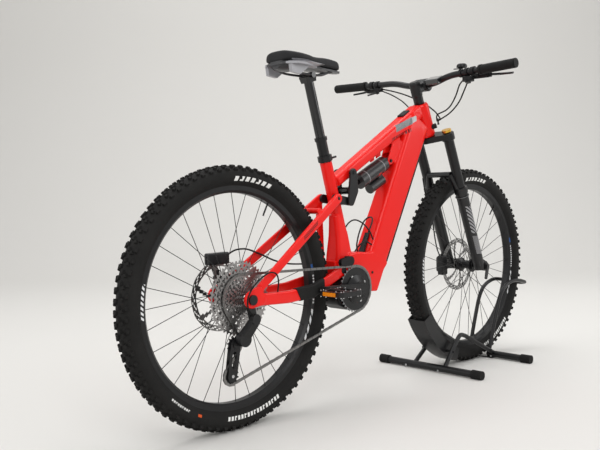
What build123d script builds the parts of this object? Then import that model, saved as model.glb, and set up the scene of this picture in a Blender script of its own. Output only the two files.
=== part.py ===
from build123d import *

# Full-suspension electric mountain bike held upright by a tubular front-wheel floor stand.
#
# All sizes are in millimetres. Bicycle coordinates used below are x forward from the rear axle,
# y to the rider's left and z up from the floor. at() turns them into the part's own frame, whose
# origin is the middle of the footprint of the whole object, on the floor.
import math
import os

os.makedirs("parts", exist_ok=True)

# ---- overall sizes -------------------------------------------------------------------------
wheelbase = 1178.0
tyre_radius = 371.0
tyre_width = 64.0
bar_width = 780.0
head_angle = 67.5
seat_angle = 73.9
stand_width = 448.0

# ---- wheels --------------------------------------------------------------------------------
rim_inner_radius = 293.0
rim_outer_radius = 317.0
rim_width = 34.0
rim_wall = 2.5
bead_radius = 308.5
casing_wall = 4.5
spoke_radius = 1.0
spokes_per_side = 16
rotor_radius = 101.5
rotor_thickness = 1.8
rear_hub_width = 148.0
front_hub_width = 110.0
axle_radius = 6.0
running_gap = 0.05
side_gap = 0.3

# ---- drivetrain ----------------------------------------------------------------------------
chain_pitch = 12.7
ring_teeth = 36
cog_teeth = [51, 45, 39, 33, 28, 24, 21, 18, 16, 14, 12, 10]
chain_cog = 3
cog_pitch = 3.6
big_cog_y = -29.0
jockey_teeth = 12
chain_line = -52.0
chain_height = 7.4
chain_width = 5.2
tooth_depth = 4.6
crank_length = 170.0
crank_angle = 176.0
bracket_x = 462.0
bracket_z = 353.0
pedal_y = 142.0

# ---- suspension ----------------------------------------------------------------------------
swing_pivot = (415.0, 415.0)
stay_pivot = (401.0, 641.0)
link_pivot = (466.0, 630.0)
rocker_pivot = (478.0, 721.0)
shock_eye = (484.0, 665.0)
shock_length = 230.0
shock_angle = 25.6
shock_can_start = 66.0
fork_offset = 44.0
crown_offset = 27.0
leg_spacing = 134.0
stanchion_radius = 18.0
lower_radius = 22.5

# ---- frame tubes ---------------------------------------------------------------------------
head_tube_radius = 30.0
head_tube_low = 864.0
head_tube_high = 966.0
seat_tube_radius = 19.5
seat_tube_top = (387.0, 758.0)
top_tube_width = 44.0
top_tube_depth = 42.0
down_tube_width = 76.0
down_tube_wall = 4.0
battery_gap = 1.5

# ---- seat ----------------------------------------------------------------------------------
post_radius = 15.2
collar_z = 832.0
saddle_z = 1036.0
saddle_rear = 178.0
saddle_nose = 450.0
saddle_half_width = 72.0

# ---- cockpit -------------------------------------------------------------------------------
stem_length = 46.0
stem_height = 78.0
bar_radius = 11.1
bar_clamp_radius = 17.5
bar_rise = 26.0
bar_sweep = 32.0
bar_knee = 118.0
grip_length = 132.0
grip_radius = 16.0

# ---- stand ---------------------------------------------------------------------------------
stand_rear_x = 925.0
stand_front_x = 1266.0
base_tube_radius = 12.5
cap_radius = 16.0
frame_tube_radius = 8.0
arch_y = 58.0
arch_apex_x = 1050.0
arch_apex_z = 122.0
hoop_y = 46.0
hoop_tube_radius = 7.5
hoop_clearance = 12.0

front_reach = wheelbase + tyre_radius + hoop_clearance + 2 * hoop_tube_radius
centre_x = (front_reach - tyre_radius) / 2

UP = Vector(0, 0, 1)
LEFT = Vector(0, 1, 0)


# ---- helpers -------------------------------------------------------------------------------
def at(x, y, z):
    """A point given in bicycle coordinates, in the part's frame."""
    return Vector(x - centre_x, y, z)


def polar(x, z, radius, degrees_):
    """A point at a distance and an angle from (x, z), measured from forward towards up."""
    return (x + radius * math.cos(math.radians(degrees_)), z + radius * math.sin(math.radians(degrees_)))


def both_sides(make):
    """The same piece made on the right (-1) and on the left (+1)."""
    return [make(side) for side in (-1, 1)]


def rod(start, end, radius):
    line = end - start
    return extrude(Plane(origin=start, z_dir=line) * Circle(radius), amount=line.length)


def sleeve(start, end, radius, bore):
    line = end - start
    return extrude(Plane(origin=start, z_dir=line) * (Circle(radius) - Circle(bore)), amount=line.length)


def cone(start, end, radius_start, radius_end):
    line = end - start
    first = Plane(origin=start, z_dir=line) * Circle(radius_start)
    last = Plane(origin=end, z_dir=line) * Circle(radius_end)
    return loft([first, last])


def boss(x, z, y_low, y_high, radius):
    return rod(at(x, y_low, z), at(x, y_high, z), radius)


def bushing(x, z, y_low, y_high, radius, bore):
    return sleeve(at(x, y_low, z), at(x, y_high, z), radius, bore)


def box_tube(start, end, size_start, size_end, corner):
    """A straight tube of rounded box section; sizes are (width in y, depth in the side view)."""
    line = end - start
    sections = []
    for point, size in ((start, size_start), (end, size_end)):
        plane = Plane(origin=point, x_dir=(0, 1, 0), z_dir=line)
        sections.append(plane * RectangleRounded(size[0], size[1], corner))
    return loft(sections)


def bent_box_tube(points, sizes, corner):
    """Rounded box tube through several points, with sections square to the side view."""
    sections = []
    for index, (point, size) in enumerate(zip(points, sizes)):
        before = points[max(index - 1, 0)]
        after = points[min(index + 1, len(points) - 1)]
        plane = Plane(origin=point, x_dir=(0, 1, 0), z_dir=after - before)
        sections.append(plane * RectangleRounded(size[0], size[1], corner))
    return loft(sections, ruled=True)


def side_sheet(y_high):
    """Sketch plane in the side view; extruding goes towards the right of the bicycle."""
    return Plane(origin=(-centre_x, y_high, 0), x_dir=(1, 0, 0), z_dir=(0, -1, 0))


def side_plate(circles, y_low, y_high):
    """Flat plate whose outline is the hull of circles given as (x, z, radius)."""
    outline = [Pos(x, z) * Circle(radius) for x, z, radius in circles]
    edges = [edge for circle in outline for edge in circle.edges()]
    return extrude(side_sheet(y_high) * make_hull(edges), amount=y_high - y_low)


def anticlockwise(points):
    """The same closed outline, in the order that gives its face an upward normal."""
    doubled = sum(a[0] * b[1] - b[0] * a[1] for a, b in zip(points, points[1:] + points[:1]))
    return points if doubled > 0 else points[::-1]


def side_polygon(points, y_low, y_high):
    sheet = side_sheet(y_high) * Polygon(*anticlockwise(points), align=None)
    return extrude(sheet, amount=y_high - y_low)


def turned(x, z, points):
    """Solid of revolution about the cross axis at (x, z); points are (radius, y)."""
    plane = Plane(origin=at(x, 0, z), x_dir=(0, 0, 1), z_dir=(-1, 0, 0))
    return revolve(plane * Polygon(*points, align=None), Axis(at(x, 0, z), LEFT))


def smooth_tube(points, radius):
    """Round tube along straight runs joined by tangent arcs as large as the runs allow."""
    arcs = []
    for before, corner, after in zip(points, points[1:], points[2:]):
        turn = math.radians((corner - before).get_angle(after - corner))
        run = min((corner - before).length, (after - corner).length)
        arcs.append(0.45 * run / math.tan(turn / 2))
    path = FilletPolyline(*points, radius=arcs)
    section = Plane(origin=path @ 0, z_dir=path % 0) * Circle(radius)
    return sweep(section, path=path)


def flat_solids(piece):
    if isinstance(piece, (list, tuple)):
        return [solid for item in piece for solid in flat_solids(item)]
    return list(piece.solids())


def save(node, *pieces):
    export_step(Compound(flat_solids(pieces)), f"parts/{node}.step")


# ---- steering axis -------------------------------------------------------------------------
steer = Vector(-math.cos(math.radians(head_angle)), 0, math.sin(math.radians(head_angle)))
ahead = Vector(steer.Z, 0, -steer.X)
axle_height = tyre_radius
steer_foot = at(wheelbase, 0, axle_height) - ahead * fork_offset


def on_steerer(height):
    """The point of the steering axis at a height above the floor."""
    return steer_foot + steer * ((height - steer_foot.Z) / steer.Z)


def steer_plane(height):
    return Plane(origin=on_steerer(height), x_dir=(0, 1, 0), z_dir=steer)


# ---- wheels --------------------------------------------------------------------------------
def make_tyre(x):
    half = tyre_width / 2
    inner_half = half - casing_wall
    bead_y = rim_width / 2 - rim_wall - 0.3
    bead_in = bead_y - casing_wall
    side_r = rim_outer_radius + 0.27 * (tyre_radius - rim_outer_radius) + 10
    knob_r = tyre_radius - 6
    knob_y = half * 0.7
    flange_r = rim_outer_radius + 1.5
    crown_in = tyre_radius - casing_wall - 4
    shoulder_in = (knob_r - casing_wall - 3, knob_y - casing_wall)
    plane = Plane(origin=at(x, 0, axle_height), x_dir=(0, 0, 1), z_dir=(-1, 0, 0))
    edges = [
        Line((bead_radius, bead_y), (flange_r, bead_y)),
        ThreePointArc((flange_r, bead_y), (side_r, half), (knob_r, knob_y)),
        ThreePointArc((knob_r, knob_y), (tyre_radius, 0), (knob_r, -knob_y)),
        ThreePointArc((knob_r, -knob_y), (side_r, -half), (flange_r, -bead_y)),
        Line((flange_r, -bead_y), (bead_radius, -bead_y)),
        Line((bead_radius, -bead_y), (bead_radius, -bead_in)),
        Line((bead_radius, -bead_in), (flange_r, -bead_in)),
        ThreePointArc((flange_r, -bead_in), (side_r, -inner_half), (shoulder_in[0], -shoulder_in[1])),
        ThreePointArc((shoulder_in[0], -shoulder_in[1]), (crown_in, 0), shoulder_in),
        ThreePointArc(shoulder_in, (side_r, inner_half), (flange_r, bead_in)),
        Line((flange_r, bead_in), (bead_radius, bead_in)),
        Line((bead_radius, bead_in), (bead_radius, bead_y)),
    ]
    return revolve(plane * make_face(edges), Axis(at(x, 0, axle_height), LEFT))


def make_rim(x, valve_angle):
    half = rim_width / 2
    hook = half - rim_wall
    floor_r = bead_radius - 0.3
    spine = half * 0.6
    waist_r = rim_inner_radius + 7
    outline = [(rim_inner_radius, -spine), (rim_inner_radius, spine), (waist_r, half),
               (rim_outer_radius, half), (rim_outer_radius, hook), (floor_r, hook),
               (floor_r, -hook), (rim_outer_radius, -hook), (rim_outer_radius, -half), (waist_r, -half)]
    chamber = [(rim_inner_radius + rim_wall, -spine), (rim_inner_radius + rim_wall, spine),
               (waist_r, hook), (floor_r - rim_wall, hook),
               (floor_r - rim_wall, -hook), (waist_r, -hook)]
    rim = turned(x, axle_height, outline) - turned(x, axle_height, chamber)
    foot = polar(x, axle_height, rim_inner_radius - side_gap, valve_angle)
    tip = polar(x, axle_height, rim_inner_radius - 38, valve_angle)
    valve = rod(at(tip[0], 0, tip[1]), at(foot[0], 0, foot[1]), 2.6)
    return [rim, valve]


def make_hub(x, width, shell_radius, flange_radius, right_flange, left_flange, right_step):
    """Hub shell with two flanges, bored for the axle, and its laced spokes."""
    end = width / 2 - side_gap
    neck = 9.5
    bore = axle_radius + running_gap
    disc = 3.0
    outline = [(bore, -end), (neck, -end), (neck, right_step), (shell_radius, right_step),
               (shell_radius, right_flange - disc / 2), (flange_radius, right_flange - disc / 2),
               (flange_radius, right_flange + disc / 2), (shell_radius - 4, right_flange + disc / 2 + 6),
               (shell_radius - 4, left_flange - disc / 2 - 6), (flange_radius, left_flange - disc / 2),
               (flange_radius, left_flange + disc / 2), (shell_radius, left_flange + disc / 2),
               (shell_radius, left_flange + 12), (neck, left_flange + 12), (neck, end), (bore, end)]
    hub = turned(x, axle_height, outline)
    spokes = []
    step = 360.0 / (2 * spokes_per_side)
    lacing = 62.0
    beside = disc / 2 + spoke_radius + 0.1
    for side, flange in ((0, right_flange), (1, left_flange)):
        for index in range(spokes_per_side):
            lean = 1 if index % 2 else -1
            rim_angle = (2 * index + side) * step
            inner = polar(x, axle_height, flange_radius - 4, rim_angle + lean * lacing)
            outer = polar(x, axle_height, rim_inner_radius - 0.2, rim_angle)
            start = at(inner[0], flange + lean * beside, inner[1])
            spokes.append(rod(start, at(outer[0], 3 if side else -3, outer[1]), spoke_radius))
    return [hub, spokes]


def make_rotor(x, y, hub_radius):
    """Disc brake rotor: brake ring, six arms and a mounting ring on the hub's side step."""
    track = 16.0
    arms = 6
    flat = Circle(rotor_radius) - Circle(rotor_radius - track)
    carrier = Circle(34) - Circle(hub_radius + 0.1)
    for index in range(arms):
        reach = rotor_radius - track - 30
        arm = Pos(30 + reach / 2, 0) * Rectangle(reach + 6, 9)
        carrier += Rot(0, 0, index * 360 / arms) * arm
    plane = Plane(origin=at(x, y, axle_height), x_dir=(1, 0, 0), z_dir=(0, 1, 0))
    sketch = plane * (flat + carrier)
    return extrude(sketch, amount=rotor_thickness / 2, both=True)


rear_rotor_y = 57.0
front_rotor_y = 43.0
for name, x, valve_angle in (("rear", 0.0, 90.0 - 28.0), ("front", wheelbase, 48.0)):
    save(f"{name}_tyre", make_tyre(x))
    save(f"{name}_rim", make_rim(x, valve_angle))
rear_left_flange = 32.0
front_left_flange = 24.0
save("rear_hub", make_hub(0.0, rear_hub_width, 24, 31, -21, rear_left_flange, big_cog_y + 3))
save("front_hub", make_hub(wheelbase, front_hub_width, 19, 27, -26, front_left_flange, -34))
save("rear_rotor", make_rotor(0.0, rear_rotor_y, 9.5))
save("front_rotor", make_rotor(wheelbase, front_rotor_y, 9.5))


# ---- drivetrain ----------------------------------------------------------------------------
def pitch_radius(teeth):
    return teeth * chain_pitch / (2 * math.pi)


cassette_bore = 9.5 + running_gap
freehub_radius = 17.0
cog_thickness = 1.6
outline = [(cassette_bore, big_cog_y + 2)]
for index, teeth in enumerate(cog_teeth):
    y = big_cog_y - index * cog_pitch
    radius = pitch_radius(teeth) - tooth_depth
    spacer = max(freehub_radius, pitch_radius(cog_teeth[min(index + 1, 11)]) - 14)
    outline.append((radius, y + cog_thickness / 2))
    outline.append((radius, y - cog_thickness / 2))
    outline.append((min(spacer, radius), y - cog_thickness / 2))
    outline.append((min(spacer, radius - 0.5), y - cog_pitch + cog_thickness / 2))
outline = [outline[0], (freehub_radius, big_cog_y + 2), (freehub_radius, big_cog_y + 1)] + outline[1:]
outline.append((cassette_bore, outline[-1][1]))
save("cassette", turned(0.0, axle_height, outline))

chain_cog_y = big_cog_y - chain_cog * cog_pitch
cog_radius = pitch_radius(cog_teeth[chain_cog])
ring_radius = pitch_radius(ring_teeth)
jockey_radius = pitch_radius(jockey_teeth)
upper_jockey = (-30.0, 247.0)
lower_jockey = (-44.0, 163.0)

crank_y = 74.0
crank_thickness = 13.0
arm_face = crank_y + crank_thickness / 2
ring_disc = turned(bracket_x, bracket_z, [
    (38, chain_line - 1), (ring_radius - tooth_depth, chain_line - 1),
    (ring_radius - tooth_depth, chain_line + 1), (38, chain_line + 1)])
spider = turned(bracket_x, bracket_z, [
    (10.2, -crank_y + crank_thickness / 2), (24, -crank_y + crank_thickness / 2), (44, chain_line - 4),
    (44, chain_line - 1), (38, chain_line - 1), (38, chain_line + 1), (10.2, chain_line + 1)])
spindle = boss(bracket_x, bracket_z, -arm_face, arm_face, 10.2)
cranks = []
pedals = []
for side in (-1, 1):
    angle = crank_angle if side < 0 else crank_angle + 180
    eye = polar(bracket_x, bracket_z, crank_length, angle)
    y_low = side * crank_y - crank_thickness / 2
    arm = side_plate([(bracket_x, bracket_z, 19), (eye[0], eye[1], 13)], y_low, y_low + crank_thickness)
    arm -= boss(bracket_x, bracket_z, y_low - 1, y_low + crank_thickness + 1, 10.2)
    arm -= boss(eye[0], eye[1], y_low - 1, y_low + crank_thickness + 1, 6.0 + running_gap)
    cranks.append(arm)
    platform_depth = 96.0
    platform_width = 92.0
    platform_height = 15.0
    centre = at(eye[0], side * pedal_y, eye[1])
    body = Pos(centre.X, centre.Y, centre.Z) * Box(platform_depth, platform_width, platform_height)
    body = fillet(body.edges().filter_by(Axis.Z), 12)
    for forward in (-1, 1):
        window = Box(26, platform_width - 26, platform_height + 2)
        body -= Pos(centre.X + forward * 25, centre.Y, centre.Z) * window
    inner_end = side * (crank_y - crank_thickness / 2)
    shaft = boss(eye[0], eye[1], min(inner_end, side * pedal_y), max(inner_end, side * pedal_y), 6.0)
    barrel_end = side * (arm_face + 3)
    barrel = boss(eye[0], eye[1], min(barrel_end, side * pedal_y), max(barrel_end, side * pedal_y), 10.5)
    reflectors = []
    for forward in (-1, 1):
        place = Pos(centre.X + forward * (platform_depth / 2 + 1.6), centre.Y, centre.Z)
        reflectors.append(place * Box(3, 48, 11))
    pedals.append([body + shaft + barrel, reflectors])
save("crankset", ring_disc + spider + spindle, cranks)
save("pedal_right", *pedals[0])
save("pedal_left", *pedals[1])


def band_arc(x, z, y, radius, from_angle, to_angle):
    """Part of a ring of chain around a sprocket, from one angle to the other, going forward to up."""
    plane = side_sheet(y + chain_width / 2)
    ring = Circle(radius + chain_height / 2) - Circle(radius - chain_height / 2)
    reach = 3 * radius
    steps = max(2, int(abs(to_angle - from_angle) / 30) + 1)
    wedge_points = [(0, 0)]
    for step in range(steps + 1):
        angle = from_angle + (to_angle - from_angle) * step / steps
        wedge_points.append((reach * math.cos(math.radians(angle)), reach * math.sin(math.radians(angle))))
    wedge = Polygon(*wedge_points, align=None)
    return extrude(plane * (Pos(x, z) * (ring & wedge)), amount=chain_width)


def band_run(start, end):
    """Straight length of chain between two points given as (x, y, z)."""
    first = at(*start)
    last = at(*end)
    line = last - first
    plane = Plane(origin=first, x_dir=LEFT - line * (LEFT.dot(line) / line.dot(line)), z_dir=line)
    return extrude(plane * Rectangle(chain_width, chain_height), amount=line.length)


def tangent_angle(x1, z1, r1, x2, z2, r2, upper):
    """Angle of the outer tangent's contact points, the same on both circles."""
    away = math.hypot(x2 - x1, z2 - z1)
    base = math.degrees(math.atan2(z2 - z1, x2 - x1))
    lean = math.degrees(math.acos((r1 - r2) / away))
    return base + lean if upper else base - lean


top_angle = tangent_angle(0, axle_height, cog_radius, bracket_x, bracket_z, ring_radius, True)
cog_top = polar(0, axle_height, cog_radius, top_angle)
ring_top = polar(bracket_x, bracket_z, ring_radius, top_angle)
low_angle = tangent_angle(*lower_jockey, jockey_radius, bracket_x, bracket_z, ring_radius, False)
ring_low = polar(bracket_x, bracket_z, ring_radius, low_angle)
jockey_low = polar(*lower_jockey, jockey_radius, low_angle)


def cross_tangent(x1, z1, r1, x2, z2, r2, sign):
    """Angles of an inner tangent's contact points on the first and the second circle."""
    away = math.hypot(x2 - x1, z2 - z1)
    base = math.degrees(math.atan2(z2 - z1, x2 - x1))
    lean = math.degrees(math.acos((r1 + r2) / away))
    return base + sign * lean, base + sign * lean + 180


cog_leave, upper_enter = cross_tangent(0, axle_height, cog_radius, *upper_jockey, jockey_radius, -1)
upper_leave, lower_enter = cross_tangent(*upper_jockey, jockey_radius, *lower_jockey, jockey_radius, 1)
split_share = 0.45


def blend_point(first, last, share):
    return tuple(a + (b - a) * share for a, b in zip(first, last))


upper_rear = (cog_top[0], chain_cog_y, cog_top[1])
upper_front = (ring_top[0], chain_line, ring_top[1])
lower_rear = (jockey_low[0], chain_cog_y, jockey_low[1])
lower_front = (ring_low[0], chain_line, ring_low[1])
upper_split = blend_point(upper_rear, upper_front, split_share)
lower_split = blend_point(lower_rear, lower_front, split_share)
chain_gap = 0.85
gap_share = chain_gap / (bracket_x + 8)
upper_split_front = blend_point(upper_rear, upper_front, split_share + gap_share)
lower_split_front = blend_point(lower_rear, lower_front, split_share + gap_share)
front_chain = band_arc(bracket_x, bracket_z, chain_line, ring_radius, low_angle, top_angle)
front_chain += band_run(upper_split_front, upper_front)
front_chain += band_run(lower_split_front, lower_front)
save("chain_front", front_chain)
rear_chain = band_arc(0, axle_height, chain_cog_y, cog_radius, top_angle, cog_leave + 360)
leave = polar(0, axle_height, cog_radius, cog_leave)
enter = polar(*upper_jockey, jockey_radius, upper_enter)
rear_chain += band_run((leave[0], chain_cog_y, leave[1]), (enter[0], chain_cog_y, enter[1]))
rear_chain += band_arc(*upper_jockey, chain_cog_y, jockey_radius, upper_leave, upper_enter)
leave = polar(*upper_jockey, jockey_radius, upper_leave)
enter = polar(*lower_jockey, jockey_radius, lower_enter)
rear_chain += band_run((leave[0], chain_cog_y, leave[1]), (enter[0], chain_cog_y, enter[1]))
rear_chain += band_arc(*lower_jockey, chain_cog_y, jockey_radius, lower_enter, low_angle + 360)
rear_chain += band_run(upper_rear, upper_split)
rear_chain += band_run(lower_rear, lower_split)
save("chain_rear", rear_chain)

jockey_bore = 3.0 + running_gap
for node, place in (("upper_jockey", upper_jockey), ("lower_jockey", lower_jockey)):
    wheel = bushing(*place, chain_cog_y - 1.2, chain_cog_y + 1.2, jockey_radius - tooth_depth, jockey_bore)
    hubs = bushing(*place, chain_cog_y - 4, chain_cog_y + 4, 7, jockey_bore)
    save(node, wheel + hubs)

# ---- rear swingarm -------------------------------------------------------------------------
dropout_in = rear_hub_width / 2 + side_gap
dropout_out = dropout_in + 10
arm_inner = 34.0
arm_outer = 46.0
pivot_pin_radius = 9.0
frame_pivot_half = arm_inner - 0.4
stay_boss_in = 31.0
stay_boss_out = 43.0
link_pin_radius = 5.0


def dropout_shape(extra):
    return [(0, axle_height, 24 + extra), (32, axle_height - 2, 17 + extra), (26, axle_height + 22, 13 + extra)]


def make_chainstay(side):
    points = [at(26, side * 79, 368), at(150, side * 67, 362), at(260, side * 57, 367),
              at(332, side * 44, 384), at(412, side * 40, 413)]
    sizes = [(10, 34), (15, 36), (16, 36), (9.5, 34), (9.5, 34)]
    stay = bent_box_tube(points, sizes, 4.5)
    near = min(side * dropout_in, side * dropout_out)
    plate = side_plate(dropout_shape(0.0), near, near + 10)
    plate -= boss(0, axle_height, near - 1, near + 11, axle_radius + running_gap)
    low = min(side * arm_inner, side * arm_outer)
    ear = boss(*swing_pivot, low, low + 12, 19)
    return stay + plate + ear


yoke = Pos(385 - centre_x, 0, 421) * Box(15, 2 * arm_outer - 8, 50)
pivot_hole = boss(*swing_pivot, -arm_outer - 1, arm_outer + 1, pivot_pin_radius + running_gap)
chainstays = make_chainstay(-1) + make_chainstay(1) + yoke - pivot_hole
axle_hole = boss(0, axle_height, -90, 90, axle_radius + running_gap)
chainstays -= axle_hole
save("chainstays", chainstays)


def make_seatstay(side):
    stay = box_tube(at(24, side * 79, 393), at(stay_pivot[0], side * 37, stay_pivot[1]), (10, 26), (12, 32), 4.5)
    low = min(side * stay_boss_in, side * stay_boss_out)
    return stay + boss(*stay_pivot, low, low + 12, 15)


bridge = rod(at(309, -47, 604), at(309, 47, 604), 9)
strut = box_tube(at(402, 40, 428), at(394, 39, 632), (10, 26), (8, 28), 3.5)
seatstays = make_seatstay(-1) + make_seatstay(1) + bridge + strut - chainstays
for side in (-1, 1):
    low = min(side * (stay_boss_in - 1), side * (stay_boss_out + 1))
    seatstays -= boss(*stay_pivot, low, low + 14, link_pin_radius + running_gap)
save("seatstays", seatstays)

rear_axle = boss(0, axle_height, -dropout_out - 5, dropout_out + 4, axle_radius)
rear_axle += boss(0, axle_height, -dropout_out - 6, -dropout_out, 14)
rear_axle += boss(0, axle_height, dropout_out, dropout_out + 4, 10)


def make_caliper(x, z, y, angle, depth):
    """Brake caliper straddling a rotor; the angle turns its long side square to the rotor radius."""
    block = fillet(Box(74, 26, 34).edges(), 5)
    slot = Pos(0, 0, -depth) * Box(80, rotor_thickness + 1.6, 34)
    place = Location(at(x, y, z), (0, angle, 0))
    return place * (block - slot)


caliper_arm = side_plate([(-20, 478, 8), (22, 398, 8), (14, 393, 8)], rear_rotor_y + 11.5, dropout_in - 1.5)
caliper_arm += side_plate([(14, 393, 8), (16, 394, 8)], dropout_in - 1.5, dropout_in)
caliper = make_caliper(-8, 478, rear_rotor_y, -1, 9)
save("rear_fittings", rear_axle, caliper, caliper_arm - caliper - seatstays)

hanger = side_plate([(-2, 352, 12), (4, 320, 11)], -dropout_out, -dropout_in)
hanger -= side_plate(dropout_shape(0.2), -dropout_out - 1, -dropout_in + 1)
knuckle = boss(4, 318, -dropout_out - 12, -dropout_out, 15)
link_body = box_tube(at(6, -84, 312), at(-10, -60, 270), (22, 30), (22, 36), 6)
cage_out = chain_cog_y - 7.2
cage_in = chain_cog_y + 5.2
p_knuckle = boss(-14, 262, cage_out - 24, cage_out - 2, 20)


def cage_plate(y_low):
    plate = side_plate([(*upper_jockey, 17), (*lower_jockey, 16)], y_low, y_low + 2)
    middle = [(a + b) / 2 for a, b in zip(upper_jockey, lower_jockey)]
    window = side_plate([(middle[0] + 2, middle[1] + 18, 7), (middle[0] - 2, middle[1] - 14, 7)],
                        y_low - 1, y_low + 3)
    return plate - window


cage = cage_plate(cage_out) + cage_plate(cage_in)
for place in (upper_jockey, lower_jockey):
    cage += boss(*place, cage_out, cage_in + 2, 3.0)
hanger_stub = boss(*upper_jockey, cage_out - 2, cage_out, 10)
save("derailleur", hanger, knuckle + link_body + p_knuckle + cage + hanger_stub - hanger)

rear_brake_hose = smooth_tube([at(29.3, 60, 484), at(60, 59, 499), at(100, 56.5, 500), at(152, 53, 481),
                               at(205, 52, 457), at(262, 52, 442), at(322, 49, 437), at(386, 44, 436)], 2.5)
shift_housing = smooth_tube([at(-4.8, -dropout_out - 9, 328.9), at(-24, -92, 350), at(-25, -92, 378),
                             at(-5, -92, 408), at(28, -91, 430), at(62, -90, 443), at(90, -87, 436),
                             at(103, -80, 412), at(104, -73, 380)], 2.2)
save("rear_hoses", rear_brake_hose - caliper, shift_housing - chainstays - knuckle)

# ---- main frame ----------------------------------------------------------------------------
seat_lean = Vector(-math.cos(math.radians(seat_angle)), 0, math.sin(math.radians(seat_angle)))
seat_top = at(seat_tube_top[0], 0, seat_tube_top[1])


def on_seat_tube(height):
    return seat_top + seat_lean * ((height - seat_top.Z) / seat_lean.Z)


head_bore = 22.0
head_tube = sleeve(on_steerer(head_tube_low), on_steerer(head_tube_high), head_tube_radius, head_bore)
steerer_radius = 15.0
cup_height = 6.0
cups = []
for low in (head_tube_low - cup_height, head_tube_high):
    cups.append(sleeve(on_steerer(low), on_steerer(low + cup_height - 0.3), head_tube_radius - 3,
                       steerer_radius + running_gap))
save("head_tube", head_tube, cups)
head_core = rod(on_steerer(head_tube_low - 2), on_steerer(head_tube_high + 2), head_tube_radius)

down_low = at(585, 0, 415)
down_high = at(852, 0, 908)
down_line = down_high - down_low
down_out = Vector(down_line.Z, 0, -down_line.X).normalized()
down_size = (down_tube_width, 94)
down_size_top = (down_tube_width - 14, 108)
down_outer = box_tube(down_low, down_high, down_size, down_size_top, 15)
battery_start = 0.06
battery_end = 0.80


def along_down(share):
    return down_low + down_line * share


def down_depth(share):
    return down_size[1] + (down_size_top[1] - down_size[1]) * share


def down_width(share):
    return down_size[0] + (down_size_top[0] - down_size[0]) * share


def inner_box(start, end, inset, corner):
    sizes = [(down_width(share) - 2 * inset, down_depth(share) - 2 * inset) for share in (start, end)]
    return box_tube(along_down(start), along_down(end), sizes[0], sizes[1], corner)


cavity = inner_box(battery_start, battery_end, down_tube_wall, 11)
cover_inset = 9.0
cover_thickness = 5.0


def cover_plane(share):
    return along_down(share) + down_out * (down_depth(share) / 2 - cover_thickness / 2 + 1.5)


cover_start = battery_start + 0.01
cover_end = battery_end + 0.02
cover = box_tube(cover_plane(cover_start), cover_plane(cover_end),
                 (down_width(cover_start) - 2 * cover_inset, cover_thickness + 3),
                 (down_width(cover_end) - 2 * cover_inset, cover_thickness + 3), 2)
window = box_tube(cover_plane(cover_start), cover_plane(cover_end),
                  (down_width(cover_start) - 2 * cover_inset + 0.6, 2.4 * cover_thickness),
                  (down_width(cover_end) - 2 * cover_inset + 0.6, 2.4 * cover_thickness), 2)
battery = inner_box(battery_start + 0.01, battery_end - 0.01, down_tube_wall + battery_gap, 10)
save("battery", battery - window)
save("battery_cover", cover)

motor_shape = [(bracket_x, 347, 64), (512, 352, 32), (404, 332, 28)]
motor_half = 43.0
drive = side_plate(motor_shape, -motor_half, motor_half)
drive -= boss(bracket_x, bracket_z, -motor_half - 1, motor_half + 1, 10.2 + running_gap)
drive -= boss(*swing_pivot, -motor_half - 1, motor_half + 1, 20)
cover_shape = [(x, z, radius - 7) for x, z, radius in motor_shape]


def drive_cover(side):
    low = min(side * motor_half, side * (motor_half + 4))
    plate = side_plate(cover_shape, low, low + 4)
    plate -= boss(bracket_x, bracket_z, low - 1, low + 5, 12)
    return plate - boss(*swing_pivot, low - 1, low + 5, 21)


save("drive_unit", drive, both_sides(drive_cover))

cradle = side_polygon([(432, 404), (452, 462), (490, 468), (560, 462), (648, 424), (624, 400), (588, 331),
                       (540, 336), (500, 380), (470, 408)], -38, 38)
cradle = fillet(cradle.edges().filter_by(Axis.Y), 8)
motor_room = side_plate([(x, z, radius + 0.6) for x, z, radius in motor_shape], -45, 45)
down_tube = down_outer + cradle - motor_room - cavity - window - head_core
relief = rod(on_steerer(head_tube_low - 90), on_steerer(head_tube_low), 44)
down_tube -= relief
down_tube -= boss(*swing_pivot, -50, 50, 19.6)

top_low = at(424, 0, 694)
top_high = at(862, 0, 943)
top_tube = box_tube(top_low, top_high, (top_tube_width, top_tube_depth - 6), (top_tube_width + 8, 51), 12)
top_tube -= down_outer + head_core

outer_tube_radius = 17.0
seat_bore = outer_tube_radius + running_gap
seat_tube = rod(on_seat_tube(500), seat_top, seat_tube_radius)
seat_tube += bent_box_tube([at(428, 0, 590), at(440, 0, 525), at(444, 0, 462), at(424, 0, 400)],
                           [(36, 36), (48, 54), (60, 70), (64, 44)], 12)
seat_tube += boss(*swing_pivot, -frame_pivot_half, frame_pivot_half, 17)
seat_tube -= rod(on_seat_tube(540), on_seat_tube(800), seat_bore)
seat_tube -= motor_room
seat_tube -= Pos(385 - centre_x, 0, 400) * Box(26, 100, 90)
pivot_pin = boss(*swing_pivot, -arm_outer, arm_outer, pivot_pin_radius)
pivot_bore = boss(*swing_pivot, -60, 60, pivot_pin_radius + running_gap)
top_tube -= rod(on_seat_tube(500), on_seat_tube(800), seat_tube_radius)
top_tube -= boss(*rocker_pivot, -30, 30, link_pin_radius + running_gap)
seat_tube = seat_tube - down_tube - pivot_bore
save("seat_tube", seat_tube)
save("down_tube", down_tube)

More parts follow.
